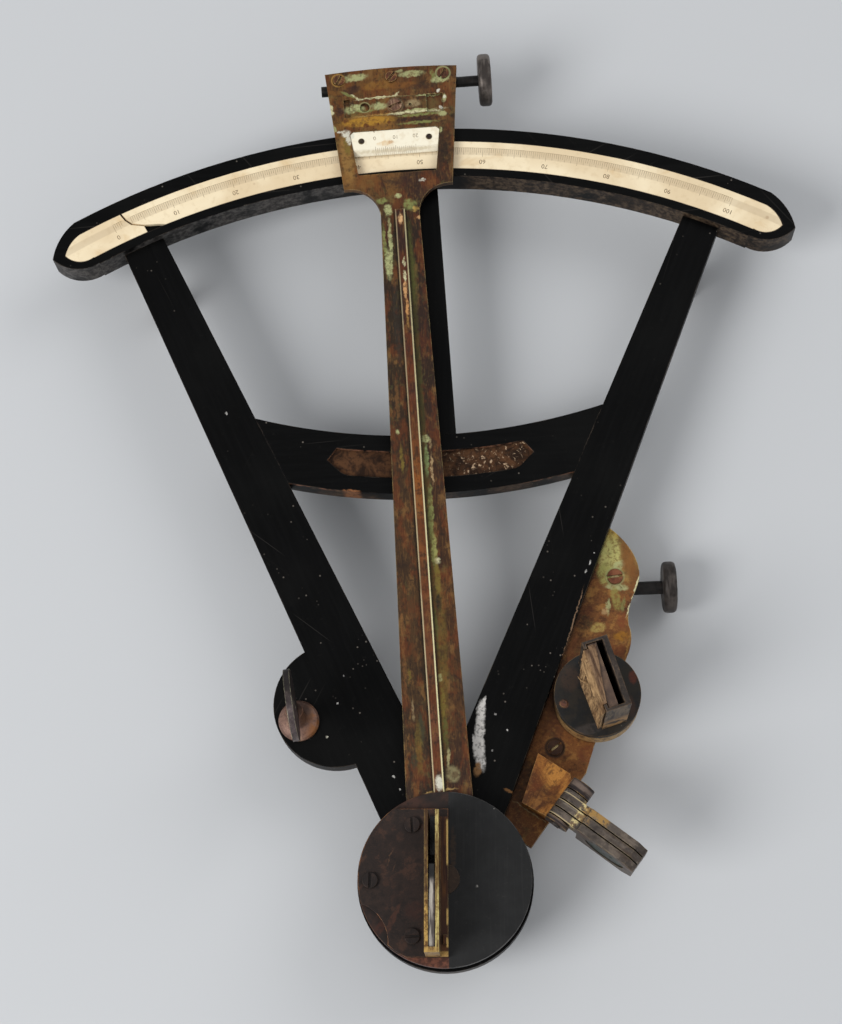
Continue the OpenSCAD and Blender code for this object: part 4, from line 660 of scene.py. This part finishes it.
def mirror_mat(name, turn, tones, streak, dark_from=None):
    """Old mirror glass, clouded and streaked."""
    g = Mat(name, rough=0.3, metal=0.25, spec=0.5, turn=turn)
    y = g.axes()[1]
    cloud = g.noise(0.14, 5, 0.65, warp=0.6)
    long_ = g.noise(0.8, 4, 0.6, co=g.turned((1, 0.07, 1)))
    g.color = g.mix(g.step(cloud, 0.42, 0.6), tones[0], tones[1])
    g.over(streak, g.step(long_, 0.54, 0.66), 0.8)
    if dark_from is not None:
        g.over((30, 28, 27), g.step(y, dark_from - 2, dark_from + 0.6))
    return g.finish(g.step(cloud, 0.4, 0.65, 0.5, 0.2), long_, 0.02, 0.2)


dress(mirror_mat("index_glass_mat", MIRROR_TURN, ((78, 70, 66), (116, 106, 102)), (206, 198, 184), -1.5),
      "index_mirror_glass")
dress(mirror_mat("horizon_glass_mat", HM_TURN, ((78, 60, 50), (112, 88, 70)), (64, 48, 40)),
      "horizon_mirror_glass")

# Plate behind the right limb, horizon mirror and shades

side_spots = [
    (57.3, 98.9, 6.5, 8, (164, 140, 78), 0.5), (37.2, 58.4, 5, 14, (98, 60, 38), 0.6, -22),
    (23.7, 31, 8, 7, (64, 46, 30), 0.7), (55.2, 107, 2.6, 3.4, (212, 178, 88), 0.95, -18),
    (55, 100.6, 3.5, 6.2, (206, 198, 122), 1, -6), (53.4, 94.6, 2.6, 3.4, (178, 172, 98), 0.95),
    (57.4, 97.2, 2, 1.3, PALE, 0.8, 20), (56.4, 90.2, 3.6, 1, PALE, 0.75, -6),
    (60.4, 99, 2, 6.5, (132, 78, 34), 0.7, 12), (62, 92, 1.5, 5, (124, 78, 38), 0.6),
    (56, 86.6, 1.3, 3.8, (150, 140, 74), 0.8, 8), (53.4, 84, 0.7, 2.6, PALE, 0.7, -4),
    (58.2, 84.6, 0.6, 2.6, GREEN, 0.6, -14), (50, 77.6, 2.4, 1.5, (178, 152, 84), 0.85, 10),
    (52.4, 82.6, 1.1, 1, (186, 150, 104), 0.7), (57.2, 74.6, 2.4, 1.5, (162, 110, 34), 0.85),
    (45.4, 79.2, 2.6, 2.6, DARK, 0.6), (47, 84.6, 2, 3, RED, 0.4), (57.6, 79.8, 1.6, 2.6, (128, 66, 36), 0.6),
    (55.6, 70.2, 2.6, 2, (112, 56, 28), 0.6), (41.6, 71, 1, 5, (140, 84, 50), 0.5, -22),
    (38, 64.4, 1, 5, DARK, 0.5, -22), (44.6, 38, 3, 2.6, (112, 60, 34), 0.7),
    (35.8, 46, 2, 3.4, (80, 46, 28), 0.6, -20), (36, 40.2, 1.6, 1.3, (38, 26, 20), 0.85, 40),
    (48.8, 36.2, 1.4, 0.9, (66, 40, 24), 0.7, 20), (62.6, 90.2, 0.3, 3.8, CREAM, 1, -20),
    (60.3, 84.2, 0.3, 3.6, CREAM, 1, -21), (59.6, 78.5, 0.3, 3.2, GOLD, 0.5, 10),
    (59, 72, 0.3, 4.3, GOLD, 0.4, -17), (26.2, 21.1, 0.2, 6.2, BEIGE, 0.8, 54),
]
side_rings = [
    (56.1, 93.6, 2.5, 0.5, PALE, 0.45), (34.8, 40.5, 2.4, 0.8, (30, 22, 18), 0.8),
]
dress(brass_mat("plate_brass", 0, OCHRE_TONES, 0.12, streak=1, spots=side_spots, rings=side_rings,
                glint=(232, 214, 156), worn=1), "horizon_plate")


def screw_paint(g, x, y, z, fine):
    """Cream metal in the slots, and the lower screw darkened with the painted shadow of the shade bracket's
    block.
    """
    # Painted shadow of the bracket's block over the lower screw.
    g.over((44, 31, 22), g.step(y, 50, 46, 0, 0.85))
    low = g.step(z, 18.35, 18.1)
    g.over((222, 196, 140), low, g.step(g.up(), 0.5, 0.9))


dress(brass_mat("bracket_screw_brass", 0, ((78, 42, 28), (122, 70, 45), (146, 92, 62)), 0, streak=1,
                paint=screw_paint, glint=(150, 104, 60), worn=0.5), "bracket_screws")


def bracket_base(g, x, y):
    return g.mix(g.step(g.noise(0.09, 5, 0.66, warp=0.5), 0.42, 0.6), (92, 54, 26), (196, 134, 62))


def bracket_paint(g, x, y, z, fine):
    """The hinge above the block is purplish and brushed round; the block's left face is darkened with painted
    shade.
    """
    long_ = g.noise(0.7, 4, 0.6, co=g.turned((0.08, 1, 0.08)))
    barrel = g.mix(g.step(long_, 0.36, 0.6), (44, 36, 35), (116, 100, 90))
    barrel = g.mix(g.times(g.step(fine, 0.5, 0.64), 0.5), barrel, (58, 42, 36))
    g.over(barrel, g.step(z, 27, 27.6))
    # Painted shade on the block's left face.
    left = g.times(g.side(), g.step(z, 25.6, 25.2), g.step(x, -9, -12), 0.7)
    g.over((52, 32, 20), left)


dress(brass_mat("bracket_brass", PIN_TURN, ((84, 48, 24), (124, 80, 38), (156, 106, 54)), 0.08, streak=1,
                base=bracket_base, paint=bracket_paint, glint=(216, 172, 104), worn=0.9), "shade_bracket")


def leaf_paint(root_end, ridge_v, rubbed):
    """Paint for a leaf whose root is rubbed as far as root_end, with a pale ridge at ridge_v from the pin."""
    def paint(g, x, y, z, fine):
        """Fine lines along the leaf, golden rubbed places at its root and a darker brown near face."""
        pin_u, pin_v = spun(*PIN_PLACE, -PIN_TURN)
        u = g.m2("SUBTRACT", x, pin_u)
        v = g.m2("SUBTRACT", y, pin_v)
        long_ = g.noise(0.9, 4, 0.62, co=g.turned((0.06, 1, 1)))
        g.over((74, 58, 46), g.step(long_, 0.5, 0.64), 0.6)
        g.over((134, 122, 108), g.step(long_, 0.42, 0.34), 0.6)
        ridge = g.times(g.step(g.m2("ABSOLUTE", g.m2("SUBTRACT", v, ridge_v)), 0.22, 0.08),
                        g.step(u, 4.4, 3.6), 0.8)
        g.over((196, 176, 136), ridge)
        root = g.times(g.band(u, 3.4, root_end, 0.8), g.step(fine, 0.4, 0.56), rubbed)
        g.over((176, 136, 74), root)
        spot = g.times(g.band(u, 3.2, 5.2, 0.5), g.step(g.noise(0.6, 4), 0.48, 0.56), 0.9)
        g.over((216, 196, 140), spot)
        near = g.times(g.side(), g.band(z, 38, 43.5, 1.5), g.step(u, 5, 8),
                       g.step(g.noise(0.3, 5, 0.7), 0.4, 0.52), 0.9)
        g.over((78, 50, 28), near)
    return paint


leaf_tones = ((56, 48, 44), (88, 79, 71), (118, 105, 93))
for i, root in enumerate([(12.6, 2.1, 0.9), (8, -0.5, 0.5), (5, -5.2, 0.3)]):
    dress(brass_mat(f"leaf_brass_{i + 1}", PIN_TURN, leaf_tones, 0, 0.35, 0.42, 1, paint=leaf_paint(*root),
                    glint=(170, 150, 110), worn=0.6), f"shade_frame_{i + 1}")


def shade_mat(name, tint):
    g = Mat(name, rough=0.3, spec=0.2)
    g.color = g.mix(g.step(g.noise(0.2, 4), 0.4, 0.7), tint, (26, 22, 20))
    g.b.inputs["Transmission Weight"].default_value = 0.12
    return g.finish(g.step(g.noise(0.5, 4), 0.5, 0.7, 0.3, 0.5), None, 0.02, 0.15)


dress(shade_mat("shade_red", (58, 12, 9)), "shade_glass_1", "shade_glass_2")
dress(shade_mat("shade_green", (12, 34, 17)), "shade_glass_3")


def upright_paint(g, x, y, z, fine):
    """Brushed dark walls around the horizon mirror, with the near end tan below and greyer above."""
    down = g.noise(0.7, 5, 0.65, co=g.turned((1, 1, 0.1)))
    g.over((110, 94, 78), g.side(), g.step(down, 0.46, 0.62), 0.7)
    v = g.m2("SUBTRACT", y, HM_V)
    tan = g.times(g.side(), g.step(v, -10.4, -10.8), g.step(z, 44, 33),
                  g.step(g.noise(0.25, 4), 0.4, 0.54), 0.85)
    end = g.times(g.side(), g.step(v, -10.4, -10.8), g.step(z, 40, 46), g.step(down, 0.4, 0.56), 0.8)
    g.over((122, 104, 82), end)
    g.over((190, 148, 98), tan)
    low = g.times(g.step(z, 29.6, 28.9), g.step(fine, 0.4, 0.55), 0.6)
    g.over((176, 136, 84), low)


dress(brass_mat("upright_brass", HM_TURN, ((36, 31, 28), (60, 51, 45), (96, 82, 70)), 0, 0.35, 0.5, 1,
                paint=upright_paint, glint=(150, 116, 78), worn=0.7), "horizon_mirror_frame")


def boss_paint(g, x, y, z, fine):
    """A painted highlight in ochre on the lower part of the rim that shows below the disc."""
    g.over((200, 164, 108), g.step(y, 54, 46), g.step(fine, 0.36, 0.56), 0.9)


dress(brass_mat("boss_brass", 0, BROWN_TONES, 0.1, streak=1, paint=boss_paint), "horizon_boss")

# Sight

copper = ((92, 68, 60), (140, 108, 94), (176, 140, 116))


def foot_paint(g, x, y, z, fine):
    """Orange towards the right, and a painted shadow round the stem."""
    g.over((152, 98, 52), g.step(x, -42.4, -38), g.step(g.noise(0.2, 4), 0.36, 0.56), 0.8)
    # Painted shadow of the stem on the foot.
    stem = g.blob(g.wobbled(0.5, 1), -42.2, 53.2, 3.6, 3.8, soft=0.6)
    g.over((40, 24, 18), stem, 0.85)


dress(brass_mat("sight_copper", 0, copper, 0, 0.4, 0.4, 1, paint=foot_paint, glint=(150, 90, 60),
                worn=0.6), "sight_base")


def vane_paint(g, x, y, z, fine):
    """Darker on the half away from the pivot."""
    g.over((24, 22, 20), g.step(y, 51, 59, 0, 0.8))


dress(brass_mat("vane_brass", VANE_TURN, ((50, 42, 42), (92, 80, 80), (128, 112, 106)), 0, 0.4, 0.42, 1,
                paint=vane_paint, glint=(206, 200, 164), worn=1), "sight_vane")

# Other fittings

fitting = brass_mat("fitting_brass", 0, BROWN_TONES, 0.25, streak=1)
dress(fitting, "frame_feet", "pivot_foot", "adjuster_block", "pivot_socket", "pivot_washer", "clamp_shoe",
      "adjusting_nut")
dark_brass = brass_mat("dark_brass_mat", 0, DARK_TONES, 0.06, 0.4, 0.5, 1)
dress(dark_brass, "pivot_plate", "pivot_back_plate", "vernier_pins", "tangent_lugs", "clamp_bracket",
      "clamp_screw", "clamp_knob", "horizon_plate_screws", "horizon_lever", "stem_nut", "sight_nut")


def steel_mat(name, turn, tones):
    """Browned steel, brushed round its axis, with worn rims."""
    g = Mat(name, rough=0.45, metal=0.55, spec=0.4, turn=turn)
    cloud = g.noise(0.16, 5, 0.65)
    fine = g.noise(0.9, 4, 0.6)
    round_ = g.noise(1.3, 3, 0.5, co=g.turned((1, 0.15, 0.15)))
    g.color = g.mix(g.step(cloud, 0.4, 0.62), tones[0], tones[1])
    g.over(tones[2], g.step(round_, 0.5, 0.7), 0.4)
    g.over((64, 46, 34), g.step(fine, 0.56, 0.72), 0.4)
    edge = g.times(g.edge(0.4), g.step(g.noise(0.4, 3), 0.35, 0.6))
    g.over((124, 116, 108), edge, 0.5)
    return g.finish(g.m2("ADD", 0.34, g.times(fine, 0.28)), fine, 0.03, 0.35)


steel = steel_mat("brown_steel", 0, ((46, 41, 38), (84, 77, 72), (100, 92, 86)))
dress(steel, "pivot_screw", "shade_pin", "horizon_stem", "adjusting_knob")
dress(steel_mat("knob_steel", 0, ((62, 56, 52), (112, 103, 96), (140, 130, 122))), "tangent_knob")
dress(steel_mat("dark_steel", ARM_REST, ((26, 24, 23), (44, 41, 39), (62, 58, 55))), "tangent_screw",
      "adjusting_screw")

# Engraved scales


def ink_mat(name, darker, lighter):
    g = Mat(name, rough=0.7, spec=0.2)
    worn = g.noise(0.5, 4, 0.65)
    g.color = g.mix(g.step(worn, 0.4, 0.62), darker, lighter)
    return g.finish(None, worn, 0.01, 0.0)


def as_mesh(name, verts, faces, material, body):
    """A new mesh from corners in row millimetres, riding on that body."""
    mesh = bpy.data.meshes.new(name)
    mesh.from_pydata([Vector(v) * MM for v in verts], [], faces)
    mesh.update()
    mesh.materials.append(material)
    obj = bpy.data.objects.new(name, mesh)
    bpy.context.scene.collection.objects.link(obj)
    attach(obj, body)
    return obj


def add_wall(faces, low, high, count):
    """Faces between two rings of corners that start at low and at high."""
    for i in range(count):
        j = (i + 1) % count
        faces.append((low + j, low + i, high + i, high + j))


def add_stroke(verts, faces, path, side):
    """A thin inked bar along path, a list of points, as far as side on each hand."""
    start = len(verts)
    for p in path:
        for s, d in ((-1, 0), (1, 0), (1, -INK_DEEP), (-1, -INK_DEEP)):
            verts.append((p[0] + s * side[0], p[1] + s * side[1], p[2] + d))
    last = start + 4 * (len(path) - 1)
    for low in range(start, last, 4):
        add_wall(faces, low + 4, low, 4)
    faces.append((start, start + 3, start + 2, start + 1))
    faces.append((last, last + 1, last + 2, last + 3))


def glyphs(text, height):
    """Corners and faces of plain figures about the origin, upright along +Y."""
    curve = bpy.data.curves.new("figures", "FONT")
    curve.body = text
    curve.size = 1.0
    curve.resolution_u = 3
    curve.extrude = 0.5
    obj = bpy.data.objects.new("figures", curve)
    bpy.context.scene.collection.objects.link(obj)
    mesh = obj.to_mesh()
    corners = [v.co.copy() for v in mesh.vertices]
    faces = [tuple(p.vertices) for p in mesh.polygons]
    obj.to_mesh_clear()
    bpy.data.objects.remove(obj)
    bpy.data.curves.remove(curve)
    xs, ys = [c.x for c in corners], [c.y for c in corners]
    mx, my, scale = (min(xs) + max(xs)) / 2, (min(ys) + max(ys)) / 2, height / (max(ys) - min(ys))
    return [((c.x - mx) * scale, (c.y - my) * scale, (c.z - 0.5) * FIGURE_DEEP) for c in corners], faces


def add_glyphs(verts, faces, text, height, place, angle):
    corners, polygons = glyphs(text, height)
    start = len(verts)
    for x, y, z in corners:
        dx, dy = spun(x, y, angle)
        verts.append((place[0] + dx, place[1] + dy, place[2] + z))
    faces.extend(tuple(start + k for k in p) for p in polygons)


def polar(r, a):
    """A point on the arc's face at radius r, at angle a from straight up."""
    return r * math.sin(a), r * math.cos(a), ARC_Z + INK_LIFT


def arc_scale():
    """Ticks and figures on the arc: 100 units over 50 degrees, each in thirds, clear of the crack."""
    first_deg, crack, last_deg, thirds = -25.0, (-24.2, -23.5), 25.0, 6
    verts, faces, figure_verts, figure_faces = [], [], [], []
    for i in range(301):
        deg = first_deg + i / thirds
        if crack[0] < deg < crack[1]:
            continue
        low = 233.8 if i % 15 == 0 else 234.4 if i % 3 == 0 else 235.2
        a = math.radians(deg)
        side = (HALF_TICK * math.cos(a), -HALF_TICK * math.sin(a))
        add_stroke(verts, faces, [polar(low, a), polar(TICKS_TOP, a)], side)
    for first, last in ((first_deg, crack[0]), (crack[1], last_deg)):
        steps = max(2, round((last - first) * 4))
        for k in range(steps):
            a0, a1 = (math.radians(first + (last - first) * q / steps) for q in (k, k + 1))
            mid = (a0 + a1) / 2
            side = (HALF_LINE * math.sin(mid), HALF_LINE * math.cos(mid))
            add_stroke(verts, faces, [polar(TICKS_TOP, a0), polar(TICKS_TOP, a1)], side)
    for n in range(0, 101, 10):
        a = math.radians(first_deg + n / 2)
        add_glyphs(figure_verts, figure_faces, str(n), 1.5, polar(FIGURES_R, a), math.pi - a)
    tick_ink = ink_mat("tick_ink", (150, 128, 98), (192, 174, 140))
    figure_ink = ink_mat("figure_ink", (96, 76, 56), (150, 128, 100))
    as_mesh("arc_ticks", verts, faces, tick_ink, "frame")
    as_mesh("arc_figures", figure_verts, figure_faces, figure_ink, "frame")


def on_arm(x, y, z):
    """A point given with the arm straight up, at the angle where the arm rests."""
    return spun(x, y, ARM_REST) + (z + INK_LIFT,)


def vernier_scale():
    """Twenty divisions on the vernier's bevel, with figures at every tenth one."""
    verts, faces, figures = [], [], []
    whole = 3.1667
    bevel_low, bevel_top, figures_y = (235.08, 29.18), (236.6, VERNIER_Z), 240.3
    for i in range(21):
        a = math.radians(-whole / 2 + whole * i / 20)
        top = 237.4 if i % 10 == 0 else 237.2 if i % 5 == 0 else 236.9
        side = on_arm(HALF_TICK * math.cos(a), -HALF_TICK * math.sin(a), 0)[:2]
        path = [on_arm(y * math.tan(a), y, z) for y, z in (bevel_low, bevel_top, (top, VERNIER_Z))]
        add_stroke(verts, faces, path, side)
        if i % 10 == 0:
            place = on_arm(figures_y * math.tan(a), figures_y, VERNIER_Z)
            figures.append((str(i), place, math.pi - a + ARM_REST))
    for text, place, angle in figures:
        add_glyphs(verts, faces, text, 1.3, place, angle)
    ink = ink_mat("vernier_ink", (128, 112, 90), (190, 174, 148))
    as_mesh("vernier_engraving", verts, faces, ink, "index_arm_body")


arc_scale()
vernier_scale()

# Wood wedge that bulges out of the horizon mirror's open front


def wood_mat(name):
    """Raw broken wood with upright fibres, tan where it is fresh and brown where it is old."""
    g = Mat(name, rough=0.8, spec=0.2, turn=HM_TURN)
    fibre = g.noise(1.1, 5, 0.65, co=g.turned((1, 1, 0.06)))
    along = g.noise(0.9, 5, 0.65, co=g.turned((1, 0.1, 1)))
    cloud = g.noise(0.2, 4)
    flat = g.step(g.up(), 0.5, 0.8)
    grain = g.m2("ADD", g.times(flat, along), g.times(g.m2("SUBTRACT", 1.0, flat), fibre))
    g.color = g.mix(g.step(grain, 0.34, 0.66), (78, 56, 38), (190, 154, 110))
    g.over((128, 94, 62), g.step(cloud, 0.52, 0.66), 0.5)
    old = g.times(flat, g.step(g.axes()[0], HM_U - 4.4, HM_U - 3.2), 0.75)
    g.over(g.mix(g.step(along, 0.4, 0.6), (74, 54, 44), (122, 96, 76)), old)
    g.over((84, 58, 38), g.step(g.noise(0.5, 4, 0.6, warp=0.6), 0.56, 0.66), 0.6)
    # Inner corners of the wood darkened with painted shade.
    g.over((48, 34, 24), g.corners(1.5), 0.6)
    return g.finish(None, grain, 0.2, 0.12)


def dense(points, steps):
    """The closed outline with each side cut into that many parts."""
    out = []
    for i, p in enumerate(points):
        q = points[(i + 1) % len(points)]
        for k in range(steps[i]):
            out.append(tuple(a + (b - a) * k / steps[i] for a, b in zip(p, q)))
    return out


def add_splinter(faces, verts, place):
    """One long splinter that stands off towards the left."""
    path = [(-5.4, -0.4, 53.9), (-6.4, -0.2, 54.2), (-7.3, 0.5, 54.6), (-7.9, 1.3, 55.0), (-8.2, 2.0, 55.2)]
    first, sides = len(verts), 6
    for k, (x, y, z) in enumerate(path):
        r = 0.42 * (1 - k / len(path)) + 0.06
        for q in range(sides):
            a = q * math.tau / sides
            place(x + 0.5 * r * math.cos(a), y + r * math.cos(a), z + r * math.sin(a))
    last = first + sides * (len(path) - 1)
    for low in range(first, last, sides):
        add_wall(faces, low, low + sides, sides)
    faces.append(tuple(first + q for q in range(sides)))
    faces.append(tuple(last + q for q in reversed(range(sides))))


def wedge():
    """The broken block, ragged in front and on top. Its outlines are told from the mirror's own middle."""
    top = [(-4.2, 8.4), (-2.7, 8.5), (-2.6, 9.3), (-0.2, 9.3), (-0.6, 6.3), (-1.4, 1.5), (-2.3, -4.0),
           (-2.9, -8.4), (-4.02, -8.5), (-4.1, -10.7), (-5.6, -11.4), (-5.9, -1.5), (-6.4, 3.6), (-5.5, 6.2)]
    low = [(-4.2, 8.35), (-2.9, 8.35), (-2.82, 8.3), (-2.8, 8.2), (-2.8, 6.3), (-2.8, 1.5), (-2.8, -4.0),
           (-2.8, -8.3), (-4.02, -8.35), (-4.05, -10.4), (-5.4, -10.9), (-5.6, -1.5), (-5.9, 3.6),
           (-5.3, 6.2)]
    steps = []
    for i in range(len(top)):
        longest = max(math.dist(ring[i], ring[(i + 1) % len(ring)]) for ring in (top, low))
        steps.append(max(1, round(longest / 0.7)))
    top, low = dense(top, steps), dense(low, steps)
    count = len(top)
    floor_z, glass_z, top_z = 31.3, 56.1, 56.7
    front_x, furthest_x, nearest_x = -4.15, -6.6, -4.08
    levels = [(floor_z + (glass_z - 0.15 - floor_z) * k / 12, low) for k in range(13)]
    levels += [(glass_z, top), (top_z, top)]
    verts, faces = [], []

    def place(x, y, z):
        dx, dy = spun(x, y, HM_TURN)
        verts.append((HM_PLACE[0] + dx, HM_PLACE[1] + dy, z))

    for z, ring in levels:
        for i, (x, y) in enumerate(ring):
            if x < front_x and z > floor_z:
                fibre = noise.noise(Vector((i * 0.9, 3.1, 0.0))) * 0.28
                fibre += noise.noise(Vector((x, y * 1.3, z * 0.25))) * 0.3
                x = max(furthest_x, min(x + fibre, nearest_x))
            lift = 0.35 * noise.noise(Vector((i * 0.55, 7.7, 0.0))) if z == top_z else 0.0
            place(x, y, z + lift)
    last = len(levels) - 1
    for r in range(last):
        add_wall(faces, r * count, (r + 1) * count, count)
    faces.append(tuple(range(count)))
    cx, cy = sum(p[0] for p in top) / count, sum(p[1] for p in top) / count
    previous = last * count
    for share in (0.72, 0.4):
        first = len(verts)
        for px, py in top:
            x, y = cx + (px - cx) * share, cy + (py - cy) * (0.5 + 0.5 * share)
            place(x, y, top_z - 0.15 + 0.3 * noise.noise(Vector((x * 1.4, y * 0.5, share * 9))))
        add_wall(faces, previous, first, count)
        previous = first
    faces.append(tuple(previous + i for i in reversed(range(count))))
    add_splinter(faces, verts, place)
    obj = as_mesh("wood_wedge", verts, faces, wood_mat("wedge_wood"), "horizon_mirror")
    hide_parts("horizon_packing")


dress(wood_mat("packing_wood_mat"), "horizon_packing")
wedge()

# Stage: floor, lamps, world and camera


def stage():
    """A plain pale floor, two soft lamps and an even sky."""
    floor_mesh = bpy.data.meshes.new("floor")
    half = 9.0
    square = [(-half, -half, 0), (half, -half, 0), (half, half, 0), (-half, half, 0)]
    floor_mesh.from_pydata(square, [], [(0, 1, 2, 3)])
    floor = bpy.data.objects.new("floor", floor_mesh)
    bpy.context.scene.collection.objects.link(floor)
    g = Mat("floor_paper", rough=0.9, spec=0.1)
    g.fill(g.b, {"Base Color": (0.6, 0.61, 0.62, 1)})
    floor_mesh.materials.append(g.m)

    def lamp(name, place, size, watts):
        """A round lamp that shines on the middle of the frame."""
        data = bpy.data.lights.new(name, "AREA")
        data.shape = "DISK"
        data.size = size
        data.energy = watts
        obj = bpy.data.objects.new(name, data)
        obj.location = place
        obj.rotation_euler = (Vector((0, 0.12, 0)) - Vector(place)).to_track_quat("-Z", "Y").to_euler()
        bpy.context.scene.collection.objects.link(obj)

    lamp("key", (-1.1, -0.5, 1.2), 0.9, 17)
    lamp("fill", (1.2, 0.9, 1.3), 1.2, 7)
    world = bpy.data.worlds.new("sky")
    bpy.context.scene.world = world
    world.use_nodes = True
    back = world.node_tree.nodes["Background"]
    back.inputs["Color"].default_value = (0.95, 0.97, 1, 1)
    back.inputs["Strength"].default_value = 0.55


def camera():
    """The camera that took the photo, as it was fitted to it: its axes and its place above the arc's face."""
    image_w = 842
    focal_px = 2300
    data = bpy.data.cameras.new("camera")
    data.sensor_fit = "HORIZONTAL"
    data.sensor_width = 36.0
    data.lens = data.sensor_width * focal_px / image_w
    data.clip_start = 0.01
    obj = bpy.data.objects.new("camera", data)
    right = (0.99891, -0.03276, -0.03322)
    up = (0.04048, 0.96262, 0.26782)
    back = (0.02321, -0.26888, 0.96289)
    m = Matrix((right, up, back)).transposed().to_4x4()
    m.translation = Vector((13.1, -78.03, 688.31 + ARC_Z)) * MM
    obj.matrix_world = m
    bpy.context.scene.collection.objects.link(obj)
    bpy.context.scene.camera = obj


stage()
camera()
bpy.context.scene.view_settings.view_transform = "Standard"
